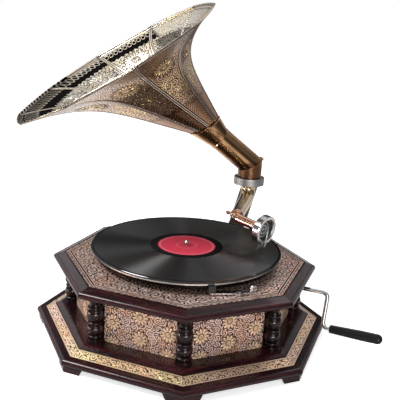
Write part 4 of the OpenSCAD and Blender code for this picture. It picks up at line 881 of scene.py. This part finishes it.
# Painted dark reflection: the band but for its loops, and the field below it, off the folds.
painted_dark_reflection = (dark_reflection_band * arc.flip()).either(far_dark_reflection) * fold.flip()
colour(relief, inside_depth, (0.12, 0.095, 0.08), (0.80, 0.74, 0.65), (0.79, 0.68, 0.50), painted_dark_reflection)
for piece in (bell, medallions):
    piece.data.materials.append(horn_outside)
    piece.data.materials.append(horn_inside)
    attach(piece, "horn")
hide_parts("horn_bell", "horn_rim")

# A white studio floor, lit by one large soft box from the front left, weaker ones from the
# right and from behind, and two low strips that lie below the record's plane.
floor_radius, glow_edge, pool_middle, pool_edge = 4.0, (2.0, 0.9), (-0.50, 0.42), (0.62, 0.24)
shape = bmesh.new()
bmesh.ops.create_circle(shape, cap_ends=True, segments=128, radius=floor_radius)
floor = link_piece("studio_floor", shape)
white_paper, tree, shader = new_finish(
    "white_paper", {"Roughness": 0.9, "Specular IOR Level": 0.1, "Emission Color": (1.0, 1.0, 1.0, 1.0)})
ray = tree.nodes.new("ShaderNodeLightPath")
eye = Field(tree, ray.outputs["Is Camera Ray"])
mirrored = Field(tree, ray.outputs["Is Glossy Ray"])
place = at_object(tree)
x, y = split(tree, place)[:2]
pale = two_tone(tree, noise(tree, place, 3.0, 2.0, 0.5), (0.90, 0.90, 0.90), (0.94, 0.94, 0.94))
# To the eye the floor is evenly pale, to bounced light dull grey; in reflections it glows, most in a pool to
# the left behind the machine: painted light that no lamp gives.
drive(shader, "Base Color", two_tone(tree, eye, (0.34, 0.33, 0.32), pale))
pool = distance(x - pool_middle[0], y - pool_middle[1]).fade(*pool_edge)
glow = distance(x, y).fade(*glow_edge) * 0.36 + pool * 0.52
drive(shader, "Emission Strength", eye * 0.66 + mirrored * glow)
floor.data.materials.append(white_paper)

aim_height = 0.15
for name, spot, width, tall, power in (
        ("left_box", (-1.1, -0.75, 1.6), 0.7, 0.7, 38.0),
        ("back_box", (0.3, 1.5, 1.5), 1.0, 1.0, 5.0),
        ("right_box", (1.0, -1.4, 0.9), 0.8, 0.8, 7.0),
        ("low_left_strip", (-1.3, -0.8, 0.055), 0.9, 0.1, 7.0),
        ("low_right_strip", (0.9, -1.4, 0.055), 0.9, 0.1, 12.0)):
    lamp = bpy.data.lights.new(name, "AREA")
    lamp.shape = "RECTANGLE"
    lamp.size = width
    lamp.size_y = tall
    lamp.energy = power
    holder = bpy.data.objects.new(name, lamp)
    aim = Vector((0.0, 0.0, min(aim_height, spot[2]))) - Vector(spot)
    holder.matrix_world = Matrix.Translation(spot) @ aim.to_track_quat("-Z", "Y").to_matrix().to_4x4()
    holder.visible_camera = False
    bpy.context.scene.collection.objects.link(holder)

# The metal and the record reflect a pale ceiling, a bright and a dim screen behind the
# machine, and a dark card that keeps the far side of the record black.
screen_way, dim_screen_way, card_way = (-0.628, 0.439, 0.643), (0.17, 0.98, 0.1), (-0.321, 0.883, 0.342)
world = bpy.data.worlds.new("studio")
bpy.context.scene.world = world
world.use_nodes = True
tree = world.node_tree
ways = split(tree, tree.nodes.new("ShaderNodeTexCoord").outputs["Generated"])
screen = distance_along(ways, screen_way).fade(0.80, 0.90)
dim_screen = distance_along(ways, dim_screen_way).fade(0.90, 0.97) * 0.6
dark_card = distance_along(ways, card_way).fade(0.88, 0.97) * 0.85
light = (ways[2].fade(0.2, 0.95) * 0.55).either(screen).either(dim_screen)
ceiling = two_tone(tree, light, (0.07, 0.07, 0.075), (0.9, 0.91, 0.93))
ceiling = two_tone(tree, dark_card, ceiling, (0.0, 0.0, 0.0))
eye = Field(tree, tree.nodes.new("ShaderNodeLightPath").outputs["Is Camera Ray"])
backdrop = two_tone(tree, eye, ceiling, (1.0, 1.0, 1.0))
tree.links.new(backdrop, tree.nodes["Background"].inputs["Color"])
bpy.context.scene.view_settings.view_transform = "Standard"
